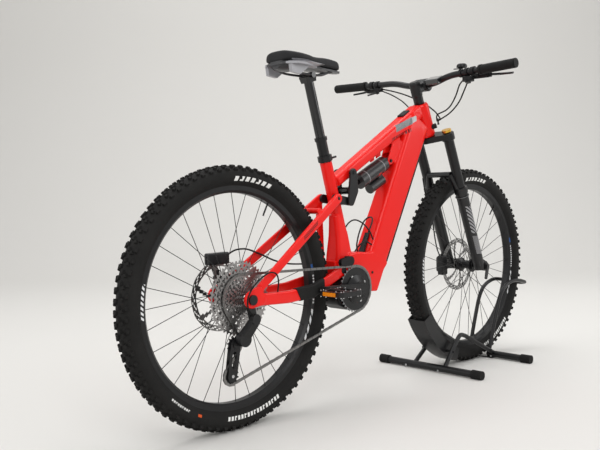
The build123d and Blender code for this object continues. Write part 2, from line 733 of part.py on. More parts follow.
shock_line = Vector(math.cos(math.radians(shock_angle)), 0, math.sin(math.radians(shock_angle)))
shock_rear = at(shock_eye[0], 0, shock_eye[1])
shock_front = shock_rear + shock_line * shock_length
shock_front_xz = (shock_front.X + centre_x, shock_front.Z)
eye_half = 12.0
gussets = []
for side in (-1, 1):
    low = min(side * (eye_half + 0.6), side * (eye_half + 6.6))
    plate = side_plate([(*shock_front_xz, 14), (732, 800, 20), (728, 832, 20)], low, low + 6)
    plate -= boss(*shock_front_xz, low - 1, low + 7, link_pin_radius + running_gap)
    gussets.append(plate)
web = side_polygon([(590, 780), (607, 758), (672, 789), (760, 800), (760, 862), (640, 812)], -3, 3)
web -= side_plate([(628, 772, 5.5), (629, 780, 5.5)], -4, 4)
web -= side_plate([(663, 789, 6), (667, 799, 6)], -4, 4)
top_tube = top_tube + gussets[0] + gussets[1] + web - down_outer
save("top_tube", top_tube)

dropper_outer = sleeve(on_seat_tube(545), on_seat_tube(collar_z), outer_tube_radius, post_radius + running_gap)
dropper_outer += sleeve(on_seat_tube(collar_z - 10), on_seat_tube(collar_z), 20, post_radius + running_gap)
clamp_height = 18.0
seat_clamp = sleeve(on_seat_tube(seat_tube_top[1] + 0.5), on_seat_tube(seat_tube_top[1] + clamp_height),
                    23, seat_bore)
clamp_lever = rod(on_seat_tube(769) + Vector(18, -14, 0), on_seat_tube(769) + Vector(36, -14, 4), 3.5)
save("dropper_outer", dropper_outer, seat_clamp + clamp_lever - rod(on_seat_tube(760), on_seat_tube(790), seat_bore))

# ---- small frame pieces --------------------------------------------------------------------
guide_low_y = chain_line - chain_width / 2
guide_high_y = chain_line + chain_width / 2
guide_shape = [(402, 441, 12), (436, 444, 15)]
guide = side_plate(guide_shape, guide_low_y - 4, guide_low_y - 1.4)
guide += side_plate(guide_shape, guide_high_y + 2, guide_high_y + 4)
guide += side_plate([(402, 445, 6), (436, 449, 8)], guide_low_y - 3, guide_high_y + 3)
guide += boss(440, 452, guide_high_y + 3, -30.6, 6)
guide_channel = side_polygon([(370, 405), (480, 405), (480, 436), (370, 436)], guide_low_y - 1.2, guide_high_y + 1.9)
save("chain_guide", guide - guide_channel - boss(*swing_pivot, -arm_outer - 1.5, -arm_inner, 20))


def down_rear(share, lift, y):
    """A point beside the seat-tube side of the down tube, lifted off its surface."""
    return along_down(share) - down_out * (down_depth(share) / 2 + lift) + Vector(0, y, 0)


wire = 2.6
cage_wire = smooth_tube([down_rear(0.04, wire, -15), down_rear(0.075, 16, -18), down_rear(0.15, 22, -20),
                         down_rear(0.235, 18, -19), down_rear(0.265, 14, -8), down_rear(0.265, 14, 8),
                         down_rear(0.235, 18, 19), down_rear(0.15, 22, 20), down_rear(0.075, 16, 18),
                         down_rear(0.04, wire, 15)], wire)
cage_plate_start = down_rear(0.03, 3.2, 0)
cage_plate_end = down_rear(0.17, 3.2, 0)
cage_base = box_tube(cage_plate_start, cage_plate_end, (26, 6), (18, 6), 2)
save("bottle_cage", cage_base + cage_wire - down_tube)

loop_high = smooth_tube([at(455, -8, 522), at(466, -8, 548), at(490, -8, 567), at(520, -8, 571),
                         at(548, -16, 556), at(566, -26, 532), at(582, -28, 500)], 2.4)
loop_low = smooth_tube([at(470, -12, 480), at(484, -12, 466), at(502, -12, 463), at(516, -12, 476),
                        at(524, -22, 492), at(544, -28, 500), at(572, -28, 486)], 2.4)
port_boss = []
for side in (-1, 1):
    port_boss.append(rod(on_steerer(888) + ahead * 4 + LEFT * side * 26, on_steerer(890) + ahead * 12 + LEFT * side * 41, 9))
charge_cap = box_tube(at(770, 0, 921), at(806, 0, 941), (26, 8), (26, 8), 3)
plugs = [boss(562, 396, -40, -38, 4)]
pin_heads = []
for side in (-1, 1):
    low = min(side * arm_outer, side * (arm_outer + 1))
    pin_heads.append(boss(*swing_pivot, low, low + 1, 11))
rocker_pin = boss(*rocker_pivot, -40, 40, link_pin_radius)
shock_pin = boss(*shock_front_xz, -22, 22, link_pin_radius)
solid_frame = [seat_tube, down_tube, down_outer, top_tube, head_tube]


def cut_frame(piece):
    for tube in solid_frame:
        piece -= tube
    return piece


save("frame_fittings", cut_frame(loop_high), cut_frame(loop_low), [cut_frame(piece) for piece in port_boss],
     cut_frame(charge_cap), plugs, pivot_pin + pin_heads[0] + pin_heads[1], rocker_pin, shock_pin)

# ---- rear suspension linkage ---------------------------------------------------------------
link_in = 22.5
link_out = 29.5
rocker_in = 31.0
rocker_out = 38.0
plates = []
for side in (-1, 1):
    low = min(side * link_in, side * link_out)
    plates.append(side_plate([(*stay_pivot, 14), (*link_pivot, 13)], low, low + link_out - link_in))
link_tube = boss(*link_pivot, -link_out, link_out, 11)
link = plates[0] + plates[1] + link_tube
pins = []
for side in (-1, 1):
    low = min(side * link_in, side * (stay_boss_out + 1.5))
    pins.append(boss(*stay_pivot, low, low + stay_boss_out + 1.5 - link_in, link_pin_radius))
save("link", link + pins[0] + pins[1])

rocker = None
for side in (-1, 1):
    low = min(side * rocker_in, side * rocker_out)
    plate = side_plate([(*rocker_pivot, 15), (*link_pivot, 14), (shock_eye[0], shock_eye[1], 15)],
                       low, low + rocker_out - rocker_in)
    low = min(side * (eye_half + 0.6), side * rocker_out)
    plate += boss(*shock_eye, low, low + rocker_out - eye_half - 0.6, 12)
    low = min(side * (rocker_in - 1), side * (rocker_out + 1))
    plate -= boss(*rocker_pivot, low, low + 9, link_pin_radius + running_gap)
    rocker = plate if rocker is None else rocker + plate
save("rocker", rocker.solids())

can_radius = 26.0
can_end = shock_length - 22.0
shaft_radius = 8.0
can_bore = 21.0
can = sleeve(shock_rear + shock_line * shock_can_start, shock_rear + shock_line * can_end, can_radius, can_bore)
can += sleeve(shock_rear + shock_line * shock_can_start, shock_rear + shock_line * (shock_can_start + 10),
              can_radius, shaft_radius + running_gap)
can += rod(shock_rear + shock_line * (can_end - 12), shock_rear + shock_line * (shock_length - 12), eye_half)
can += boss(*shock_front_xz, -eye_half, eye_half, 12)
can -= boss(*shock_front_xz, -eye_half - 1, eye_half + 1, link_pin_radius + running_gap)
below = Vector(shock_line.Z, 0, -shock_line.X)
tank_start = shock_rear + shock_line * 104 + below * 45
tank = rod(tank_start, tank_start + shock_line * 74, 17)
neck = box_tube(shock_rear + shock_line * 168 + below * 20, shock_rear + shock_line * 168 + below * 42,
                (20, 24), (20, 24), 4)
save("shock_body", can + (neck - can) + tank)
piston = rod(shock_rear + shock_line * 10, shock_rear + shock_line * 92, shaft_radius)
piston += rod(shock_rear + shock_line * 84, shock_rear + shock_line * 92, can_bore - running_gap)
piston += boss(*shock_eye, -eye_half, eye_half, 12)
save("shock_shaft", piston)

# ---- fork ----------------------------------------------------------------------------------
crown_low = 838.0
crown_high = head_tube_low - cup_height - 0.4
seal_height = 655.0


def leg_point(side, height, forward=0.0):
    """A point of a fork leg's centre line; the height is that of the steering axis beside it."""
    return on_steerer(height) + ahead * (crown_offset + forward) + LEFT * side * leg_spacing / 2


steerer_top = head_tube_high + stem_height
steerer = rod(on_steerer(crown_low), on_steerer(steerer_top), steerer_radius)
crown_plane = steer_plane(crown_low)
clamp_radius = stanchion_radius + 6
crown_flip = 1 if crown_plane.y_dir.dot(ahead) > 0 else -1
crown_sketch = make_hull(
    [edge for place, radius in (((0, 0), 29), ((leg_spacing / 2, crown_flip * crown_offset), clamp_radius),
                                ((-leg_spacing / 2, crown_flip * crown_offset), clamp_radius))
     for edge in (Pos(*place) * Circle(radius)).edges()])
crown_rise = (crown_high - crown_low) / steer.Z
crown = extrude(crown_plane * crown_sketch, amount=crown_rise)
for side in (-1, 1):
    crown += rod(leg_point(side, crown_low - 6), leg_point(side, crown_high), clamp_radius)
stanchion_foot = 548.0
for side in (-1, 1):
    crown -= rod(leg_point(side, stanchion_foot), leg_point(side, crown_high - 1), stanchion_radius)
stanchions = [rod(leg_point(side, stanchion_foot), leg_point(side, crown_high - 1), stanchion_radius)
              for side in (-1, 1)]
left_cap = rod(leg_point(1, crown_high), leg_point(1, crown_high + 6), 14)
knob_seat = rod(leg_point(-1, crown_high), leg_point(-1, crown_high + 3), 10)
save("fork_crown", crown + steerer, stanchions, left_cap, knob_seat)
knob = rod(leg_point(-1, crown_high + 3.3), leg_point(-1, crown_high + 11), 17)
save("compression_knob", knob)

lower_foot = 352.0
bore_depth = 432.0
arch_height = 714.0
lowers = None
for side in (-1, 1):
    leg = cone(leg_point(side, lower_foot), leg_point(side, seal_height), lower_radius - 2, lower_radius)
    hub_in = side * (front_hub_width / 2 + side_gap)
    hub_out = side * (leg_spacing / 2 + 16)
    pad = boss(wheelbase, axle_height, min(hub_in, hub_out), max(hub_in, hub_out), 19)
    web = side_plate([(wheelbase, axle_height, 18), (leg_point(side, 380).X + centre_x, 386, 16)],
                     min(hub_in, hub_out), max(hub_in, hub_out))
    collar = rod(leg_point(side, seal_height - 14), leg_point(side, seal_height + 6), lower_radius + 2.5)
    post_low = leg_point(side, seal_height - 20, -8)
    post_high = on_steerer(arch_height) + ahead * (crown_offset - 14) + LEFT * side * 48
    post = cone(post_low, post_high, 15, 10)
    leg = leg + pad + web + collar + post
    lowers = leg if lowers is None else lowers + leg
arch_centre = on_steerer(arch_height) + ahead * (crown_offset - 14)
lowers += rod(arch_centre - LEFT * 50, arch_centre + LEFT * 50, 10)
for side in (-1, 1):
    lowers -= rod(leg_point(side, bore_depth), leg_point(side, arch_height + 60), stanchion_radius + running_gap)
lowers -= boss(wheelbase, axle_height, -100, 100, axle_radius + running_gap)
hub_room = front_hub_width / 2 + side_gap
lowers -= boss(wheelbase, axle_height, -hub_room, hub_room, 16)
axle_head = leg_spacing / 2 + 16
lowers -= boss(wheelbase, axle_height, -axle_head - 20, -axle_head, 13.5)
lowers -= boss(wheelbase, axle_height, axle_head, axle_head + 20, 11.5)
tyre_room = tyre_width / 2 + 6
lowers -= boss(wheelbase, axle_height, -tyre_room, tyre_room, tyre_radius + 7)
front_axle = boss(wheelbase, axle_height, -axle_head, axle_head, axle_radius)
front_axle += boss(wheelbase, axle_height, -axle_head - 7, -axle_head, 13)
front_axle += boss(wheelbase, axle_height, axle_head, axle_head + 5, 11)
axle_lever = side_plate([(wheelbase, axle_height, 8), (wheelbase - 12, axle_height - 44, 6)],
                        -axle_head - 13, -axle_head - 7)
save("fork_lowers", lowers, front_axle + axle_lever)

caliper_x = wheelbase - 101
caliper_z = axle_height + 4
front_caliper = make_caliper(caliper_x, caliper_z, front_rotor_y, -92, 9)
bracket = side_plate([(caliper_x - 6, caliper_z + 24, 7), (caliper_x + 46, caliper_z + 44, 9),
                      (caliper_x - 6, caliper_z - 18, 7)], front_rotor_y + 12, front_rotor_y + 19)
leg_hose = smooth_tube([at(caliper_x - 6, 52, caliper_z + 37.4), at(caliper_x - 12, 58, caliper_z + 60),
                        at(caliper_x - 16, 64, caliper_z + 96), at(1052, 68, 540), at(1020, 70, 612),
                        at(998, 66, 668), at(980, 60, 708)], 2.5)
save("front_caliper", front_caliper - bracket, bracket - lowers, leg_hose - front_caliper - bracket - lowers)

# ---- stem, bar and controls ----------------------------------------------------------------
stem_height_mid = head_tube_high + stem_height - 22
bar_centre = on_steerer(stem_height_mid) + ahead * stem_length
spacer_low = head_tube_high + cup_height
spacer_high = stem_height_mid - 22
spacers = sleeve(on_steerer(spacer_low), on_steerer(spacer_high - 0.2), 18, steerer_radius + running_gap)
stem = rod(on_steerer(spacer_high), on_steerer(steerer_top), 19.5)
stem += box_tube(on_steerer(stem_height_mid), bar_centre, (40, 36), (44, 34), 9)
stem += boss(bar_centre.X + centre_x, bar_centre.Z, -26, 26, 23)
stem -= boss(bar_centre.X + centre_x, bar_centre.Z, -30, 30, bar_clamp_radius + running_gap)
stem -= rod(on_steerer(spacer_high - 5), on_steerer(steerer_top + 5), steerer_radius + running_gap)
top_cap = rod(on_steerer(steerer_top + 0.2), on_steerer(steerer_top + 4), 17)
save("stem", stem, spacers, top_cap)


def bar_point(y):
    """A point of the handlebar's centre line at a distance from its middle."""
    inner, outer = bar_knee, bar_width / 2
    reach = abs(y)
    share = (reach - inner) / (outer - inner)
    back = 8 + (bar_sweep - 8) * share
    rise = (bar_rise - 6) + 6 * share
    return bar_centre + Vector(-back, y, rise)


bar_end = bar_width / 2 - 2
bar_path = [bar_point(-bar_end), bar_point(-bar_knee), bar_centre - LEFT * 48,
            bar_centre + LEFT * 48, bar_point(bar_knee), bar_point(bar_end)]
bar_tube = smooth_tube(bar_path, bar_radius)
handlebar = bar_tube + rod(bar_centre - LEFT * 30, bar_centre + LEFT * 30, bar_clamp_radius)
save("handlebar", handlebar)


def bar_sleeve(side, inner_y, outer_y, radius):
    return sleeve(bar_point(side * inner_y), bar_point(side * outer_y), radius, bar_radius + running_gap)


grips = []
collar_inner = bar_width / 2 - grip_length - 9
for side in (-1, 1):
    grip = bar_sleeve(side, collar_inner + 9, bar_end, grip_radius)
    tip = bar_point(side * bar_end)
    end_stop = extrude(Plane(origin=(tip.X, side * bar_end, tip.Z), z_dir=(0, side, 0)) * Circle(grip_radius - 1),
                       amount=bar_width / 2 - bar_end)
    grips.append(grip - Pos(tip.X, side * (bar_end + 50), tip.Z) * Box(100, 100, 100))
    grips.append(end_stop - handlebar)
    grips.append(bar_sleeve(side, collar_inner, collar_inner + 8.7, grip_radius + 1.5))
save("grips", grips)


def control_point(side, y, forward, down):
    return bar_point(side * y) + Vector(forward, 0, -down)


side = 1
clamp = bar_sleeve(side, 214, 228, 15.5)
body = rod(control_point(side, 200, 27, 12), control_point(side, 262, 34, 14), 10)
neck = box_tube(control_point(side, 221, 12, 4), control_point(side, 221, 28, 12), (14, 16), (14, 16), 4)
ear = rod(control_point(side, 264, 36, 6), control_point(side, 264, 36, 22), 8)
housing = clamp + neck + body + ear
pivot = control_point(side, 264, 44, 14)
slot = Pos(pivot.X + 0.3, pivot.Y + side * 4.4, pivot.Z) * Box(27, 26, 9.1)
housing -= slot
housing -= rod(bar_point(side * 190), bar_point(side * 290), bar_radius + running_gap)
pin = rod(control_point(side, 264, 40, 9.2), control_point(side, 264, 40, 18.8), 2.5)
housing += pin
blade_root = control_point(side, 264, 40, 14)
blade = sleeve(blade_root - UP * 4, blade_root + UP * 4, 7, 2.5 + running_gap)
blade += box_tube(control_point(side, 270, 42, 14), control_point(side, 300, 52, 16), (9, 7), (9, 7), 2)
blade += box_tube(control_point(side, 299, 51.5, 16), control_point(side, 348, 50, 20), (9, 7), (8, 6), 2)
lever = blade - rod(blade_root - UP * 6, blade_root + UP * 6, 2.5 + running_gap)
controls = [mirror(housing, about=Plane.XZ), housing]
levers = {-1: mirror(lever, about=Plane.XZ), 1: lever}
pod = rod(control_point(-1, 196, 6, 30), control_point(-1, 196, 6, 15), 20)
pod += bar_sleeve(-1, 190, 202, 15)
pod -= rod(bar_point(-180), bar_point(-230), bar_radius + running_gap)
shift_pin = rod(control_point(-1, 196, 6, 38), control_point(-1, 196, 6, 29), 4)
controls.append(pod + shift_pin - controls[0])
shift_root = control_point(-1, 196, 6, 34)
shift_lever = sleeve(shift_root - UP * 2.5, shift_root + UP * 2.5, 9, 4 + running_gap)
shift_lever += box_tube(shift_root + Vector(-8, -2, 0), shift_root + Vector(-34, -18, -2), (14, 5), (16, 4), 1.5)
shift_lever -= rod(shift_root - UP * 4, shift_root + UP * 4, 4 + running_gap)
remote = bar_sleeve(1, 190, 202, 15)
remote += rod(control_point(1, 196, -4, 26), control_point(1, 196, -4, 12), 12)
remote -= rod(bar_point(180), bar_point(230), bar_radius + running_gap)
remote_pin = rod(control_point(1, 196, -4, 34), control_point(1, 196, -4, 25), 3.5)
controls.append(remote + remote_pin - controls[1])
remote_root = control_point(1, 196, -4, 30)
remote_lever = sleeve(remote_root - UP * 2.5, remote_root + UP * 2.5, 8, 3.5 + running_gap)
remote_lever += box_tube(remote_root + Vector(-6, 4, 0), remote_root + Vector(-26, 26, -8), (14, 5), (16, 4), 1.5)
remote_lever -= rod(remote_root - UP * 4, remote_root + UP * 4, 3.5 + running_gap)
save("bar_controls", controls)
save("brake_lever_right", levers[-1])
save("brake_lever_left", levers[1])
save("shift_lever", shift_lever)
save("remote_lever", remote_lever)

display_centre = bar_centre + Vector(-14, -60, 10)
display = Location(display_centre, (0, -22, 0)) * fillet(Box(42, 54, 20).edges(), 4)
bar_room = smooth_tube(bar_path, bar_radius + side_gap)
save("display", display - bar_room - handlebar - stem)

bell_base_y = 172.0
bell_axis = control_point(-1, bell_base_y, 2, 0)
bell_clamp = bar_sleeve(-1, bell_base_y - 5, bell_base_y + 5, 14.5)
bell_post = rod(bell_axis + UP * 13, bell_axis + UP * 30, 4)
dome_height = 13.0
dome = extrude(Plane(origin=bell_axis + UP * 20) * Circle(18), amount=dome_height)
dome = fillet(dome.edges().group_by(Axis.Z)[-1], 9)
dome -= extrude(Plane(origin=bell_axis + UP * 19) * Circle(15), amount=9)
save("bell", bell_clamp + bell_post + dome - rod(bar_point(-140), bar_point(-200), bar_radius + running_gap))
striker_root = bell_axis + Vector(0, 8, 16)
striker = rod(striker_root - UP * 1, striker_root + UP * 2, 3.5)
striker += rod(striker_root + UP * 0.5, striker_root + Vector(-8, 20, 1), 1.8)
save("bell_striker", striker)


def port_entry(side, turn, lift):
    """A point outside the head tube's side port, at an angle from straight ahead."""
    radius = 50.0
    angle = math.radians(turn)
    place = on_steerer(888 + lift)
    return place + ahead * radius * math.cos(angle) + LEFT * side * radius * math.sin(angle)


hose = 2.5
front_hoses = [
    smooth_tube([control_point(-1, 199, 27, 12), control_point(-1, 170, 46, 18), control_point(-1, 142, 60, 48),
                 control_point(-1, 118, 62, 88), control_point(-1, 90, 44, 124), port_entry(-1, 62, 14),
                 port_entry(-1, 74, 4)], hose),
    smooth_tube([control_point(-1, 176.5, 6, 22), control_point(-1, 156, 10, 34), control_point(-1, 128, 26, 72),
                 control_point(-1, 98, 24, 112), port_entry(-1, 66, 36), port_entry(-1, 77, 16)], hose),
    smooth_tube([control_point(1, 199, 27, 12), control_point(1, 168, 50, 20), control_point(1, 128, 66, 34),
                 control_point(1, 84, 62, 52), bar_centre + Vector(60, 30, -60), bar_centre + Vector(76, -4, -92),
                 bar_centre + Vector(86, -20, -122), port_entry(-1, 36, 18), port_entry(-1, 60, 2)], hose),
    smooth_tube([control_point(1, 184.3, -4, 20), control_point(1, 146, 16, 38), control_point(1, 108, 34, 66),
                 control_point(1, 80, 40, 98), port_entry(1, 54, 20), port_entry(1, 72, 8)], 2.2),
]
save("front_hoses", front_hoses[0] - controls[0], front_hoses[1] - controls[2],
     front_hoses[2] - controls[1], front_hoses[3] - controls[3])

# ---- dropper post and saddle ---------------------------------------------------------------
post_top = on_seat_tube(1000)
inner_post = rod(on_seat_tube(702), post_top, post_radius)
head_block = box_tube(post_top - seat_lean * 2, post_top + seat_lean * 16, (34, 40), (40, 44), 6)
rail_z = 1018.0
rail_y = 22.0
rail_radius = 3.6
clamp_centre = on_seat_tube(rail_z)
head_block += rod(clamp_centre - LEFT * 28, clamp_centre + LEFT * 28, 9)
rails = []
for side in (-1, 1):
    rails.append(smooth_tube([at(200, side * 34, 1036), at(236, side * 26, 1020),
                              at(262, side * rail_y, rail_z), at(348, side * rail_y + side * 0.4, rail_z + 0.4),
                              at(382, side * 16, 1030), at(412, side * 10, 1038)], rail_radius))
head_block -= rails[0] + rails[1]
save("seatpost", inner_post + head_block)

outline_half = [(saddle_rear, 30), (saddle_rear + 8, 52), (saddle_rear + 28, 69), (saddle_rear + 55, saddle_half_width),
                (saddle_rear + 90, 62), (saddle_rear + 130, 43), (saddle_rear + 175, 27),
                (saddle_nose - 40, 20), (saddle_nose - 8, 15), (saddle_nose, 6)]
saddle_points = [at(x, y, 0) for x, y in outline_half] + [at(x, -y, 0) for x, y in reversed(outline_half)]
planform = Polygon(*anticlockwise([(point.X, point.Y) for point in saddle_points]), align=None)
shell = extrude(Plane(origin=(0, 0, saddle_z)) * planform, amount=6)
for side in (-1, 1):
    wing = side_polygon([(saddle_rear + 12, saddle_z + 2), (saddle_rear + 16, saddle_z - 24),
                         (saddle_rear + 50, saddle_z - 28), (saddle_rear + 92, saddle_z + 2)], side * 50 - 6, side * 50 + 6)
    shell += wing
save("saddle_base", shell - rails[0] - rails[1], rails)
pad_height = 38.0
pad = extrude(Plane(origin=(0, 0, saddle_z + 6.3)) * planform, amount=pad_height)
pad = chamfer(pad.faces().sort_by(Axis.Z)[-1].edges(), 9)
save("saddle_pad", pad)

# ---- floor stand ---------------------------------------------------------------------------
cap_flat = 0.8
bar_z = cap_radius - cap_flat
half_stand = stand_width / 2
cap_length = 40.0
strap_half = 40.0
strap_height = 4.5
rear_bar = rod(at(stand_rear_x, -half_stand + 4, bar_z), at(stand_rear_x, half_stand - 4, bar_z), base_tube_radius)
front_bars = []
for side in (-1, 1):
    inner = at(stand_front_x, side * (strap_half - 2), bar_z)
    outer = at(stand_front_x, side * (half_stand - 4), bar_z)
    front_bars.append(rod(inner, outer, base_tube_radius))
strap = Pos(stand_front_x - centre_x, 0, strap_height / 2) * Box(30, 2 * strap_half + 50, strap_height)
front_bar = front_bars[0] + front_bars[1] + strap
save("stand_base", rear_bar, front_bar)
caps = []
for x in (stand_rear_x, stand_front_x):
    for side in (-1, 1):
        outer = at(x, side * half_stand, bar_z)
        inner = at(x, side * (half_stand - cap_length), bar_z)
        cap = rod(inner, outer, cap_radius) & Pos(0, 0, cap_radius) * Box(3000, 3000, 2 * cap_radius)
        caps.append(cap - rod(at(x, 0, bar_z), at(x, side * (half_stand - 4), bar_z), base_tube_radius + running_gap))
save("stand_caps", caps)

bar_top = bar_z + base_tube_radius
uprights = []
stand_bolts = []
for side in (-1, 1):
    points = [at(stand_rear_x + 4, side * 66, bar_top - 6), at(1024, side * (arch_y - 4), 102),
              at(arch_apex_x, side * (arch_y - 6), arch_apex_z), at(1078, side * (arch_y - 4), 114),
              at(stand_front_x - 8, side * 64, bar_top - 4)]
    uprights.append(smooth_tube(points, frame_tube_radius))
    for x, z, y in ((984, 69, 66), (1236, 35, 68)):
        stand_bolts.append(boss(x, z, min(side * y, side * (y + 5)), max(side * y, side * (y + 5)), 5.5))
hoop_z = 266.0
hoop_front = front_reach - hoop_tube_radius
half_hoop = [(stand_front_x - 2, hoop_y - 2, bar_top - 4), (1300, hoop_y - 1, 126), (1336, hoop_y, 218),
             (1362, hoop_y, 256), (1400, hoop_y, 277), (1452, hoop_y, 288), (1510, hoop_y, 281),
             (hoop_front - 14, hoop_y - 4, 270), (hoop_front, 22, hoop_z)]
hoop_points = [at(x, -y, z) for x, y, z in half_hoop] + [at(x, y, z) for x, y, z in reversed(half_hoop)]
hoop_points.insert(len(half_hoop), at(hoop_front + 0.0, 0, hoop_z - 0.8))
hoop = smooth_tube(hoop_points, hoop_tube_radius)
base_all = rear_bar + front_bar
save("stand_frame", [upright - base_all for upright in uprights], hoop - base_all - uprights[0] - uprights[1],
     [bolt - uprights[0] - uprights[1] for bolt in stand_bolts])

trough_gap = 2.5
trough_wall = 2.5
trough_in = tyre_width / 2 + trough_gap
trough_out = trough_in + trough_wall
trough_r = tyre_radius + side_gap
trough_lip = tyre_radius - 46
start_angle = 208.0
end_angle = 250.0
radial = (math.cos(math.radians(start_angle)), 0, math.sin(math.radians(start_angle)))
tangent = (radial[2], 0, -radial[0])
trough_plane = Plane(origin=at(wheelbase, 0, axle_height), x_dir=radial, z_dir=tangent)
profile = [(trough_lip, trough_out), (trough_r + trough_wall, trough_out), (trough_r + trough_wall, -trough_out),
           (trough_lip, -trough_out), (trough_lip, -trough_in), (trough_r, -trough_in),
           (trough_r, trough_in), (trough_lip, trough_in)]
trough_face = trough_plane * Polygon(*profile, align=None)
wheel_axis = Axis(at(wheelbase, 0, axle_height), LEFT)
trough = revolve(trough_face, wheel_axis, revolution_arc=end_angle - start_angle)
if trough.bounding_box().min.Z > axle_height - trough_lip:
    trough = revolve(trough_face, wheel_axis, revolution_arc=start_angle - end_angle)
tabs = []
for side in (-1, 1):
    low = min(side * trough_out, side * (arch_y + 2))
    tabs.append(boss(984, 69, low, low + arch_y + 2 - trough_out, 5) - uprights[0] - uprights[1])
save("stand_trough", trough + tabs[0] + tabs[1])
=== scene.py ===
import bpy
import bmesh
import math
from mathutils import Matrix, Vector


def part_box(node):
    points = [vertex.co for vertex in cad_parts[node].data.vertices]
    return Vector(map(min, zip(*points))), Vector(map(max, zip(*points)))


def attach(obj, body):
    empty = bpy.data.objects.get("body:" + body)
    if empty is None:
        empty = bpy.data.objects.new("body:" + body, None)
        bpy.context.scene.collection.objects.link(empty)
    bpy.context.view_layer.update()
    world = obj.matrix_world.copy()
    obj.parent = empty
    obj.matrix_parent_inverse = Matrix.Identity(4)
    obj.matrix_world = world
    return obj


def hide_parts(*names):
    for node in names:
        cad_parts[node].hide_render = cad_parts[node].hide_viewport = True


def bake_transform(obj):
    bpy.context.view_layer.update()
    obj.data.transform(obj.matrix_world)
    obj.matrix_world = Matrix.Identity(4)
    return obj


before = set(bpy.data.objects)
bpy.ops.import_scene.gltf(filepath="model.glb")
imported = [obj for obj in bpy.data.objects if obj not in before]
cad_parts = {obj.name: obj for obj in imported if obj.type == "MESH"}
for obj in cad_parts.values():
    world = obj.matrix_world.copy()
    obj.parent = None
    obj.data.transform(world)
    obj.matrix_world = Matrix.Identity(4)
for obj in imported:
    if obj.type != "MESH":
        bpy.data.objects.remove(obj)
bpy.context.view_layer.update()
TURN = 2 * math.pi
SADDLE_SIDES = 28
KNOBS_PER_ROW = 78
CASING_RADIUS = 0.0262
CASING_HALF_WIDTH = 0.0318
KNOB_SIZE = (0.0068, 0.0120, 0.0098)
SHOULDER_SIZE = (0.0068, 0.0098, 0.0080)
SIDE_SIZE = (0.0086, 0.0124, 0.0076)
CAMERA_PLACE = (-1.9450, -1.6324, 0.6580)
CAMERA_YAW, CAMERA_PITCH, CAMERA_ROLL = 45.36, -2.374, -0.989
CAMERA_LENS = 45.3144


# ---- node graphs -----------------------------------------------------------------------------
class Signal:
    """A node socket that can be used in ordinary arithmetic."""

    def __init__(self, graph, socket):
        self.graph = graph
        self.socket = socket

    def maths(self, operation, *others):
        values = {index: value for index, value in enumerate((self,) + others)}
        return self.graph.add("ShaderNodeMath", {"operation": operation}, values)

    def __add__(self, other):
        return self.maths("ADD", other)

    def __radd__(self, other):
        return self.maths("ADD", other)

    def __mul__(self, other):
        return self.maths("MULTIPLY", other)

    def __rmul__(self, other):
        return self.maths("MULTIPLY", other)

    def __sub__(self, other):
        return self.maths("SUBTRACT", other)

    def __rsub__(self, other):
        return self.graph.add("ShaderNodeMath", {"operation": "SUBTRACT"}, {0: other, 1: self})

    def __truediv__(self, other):
        return self.maths("DIVIDE", other)

    def __gt__(self, other):
        return self.maths("GREATER_THAN", other)

    def __lt__(self, other):
        return self.maths("LESS_THAN", other)

    def __mod__(self, other):
        return self.maths("FLOORED_MODULO", other)

    def between(self, low, high):
        return (self > low) * (self < high)


class Graph:
    """Adds nodes to a tree: a type, its settings, then the values or links of its sockets."""

    def __init__(self, tree):
        self.tree = tree

    def add(self, kind, settings=None, inputs=None, out=0):
        node = self.tree.nodes.new(kind)
        for name, value in (settings or {}).items():
            if name == "stops":
                ramp = node.color_ramp.elements
                while len(ramp) < len(value):
                    ramp.new(0.5)
                for element, (place, shade) in zip(ramp, value):
                    element.position = place
                    element.color = (*shade, 1.0)
            else:
                setattr(node, name, value)
        for key, value in (inputs or {}).items():
            socket = node.inputs[key]
            if isinstance(value, Signal):
                self.tree.links.new(value.socket, socket)
            else:
                socket.default_value = value
        return Signal(self, node.outputs[out])


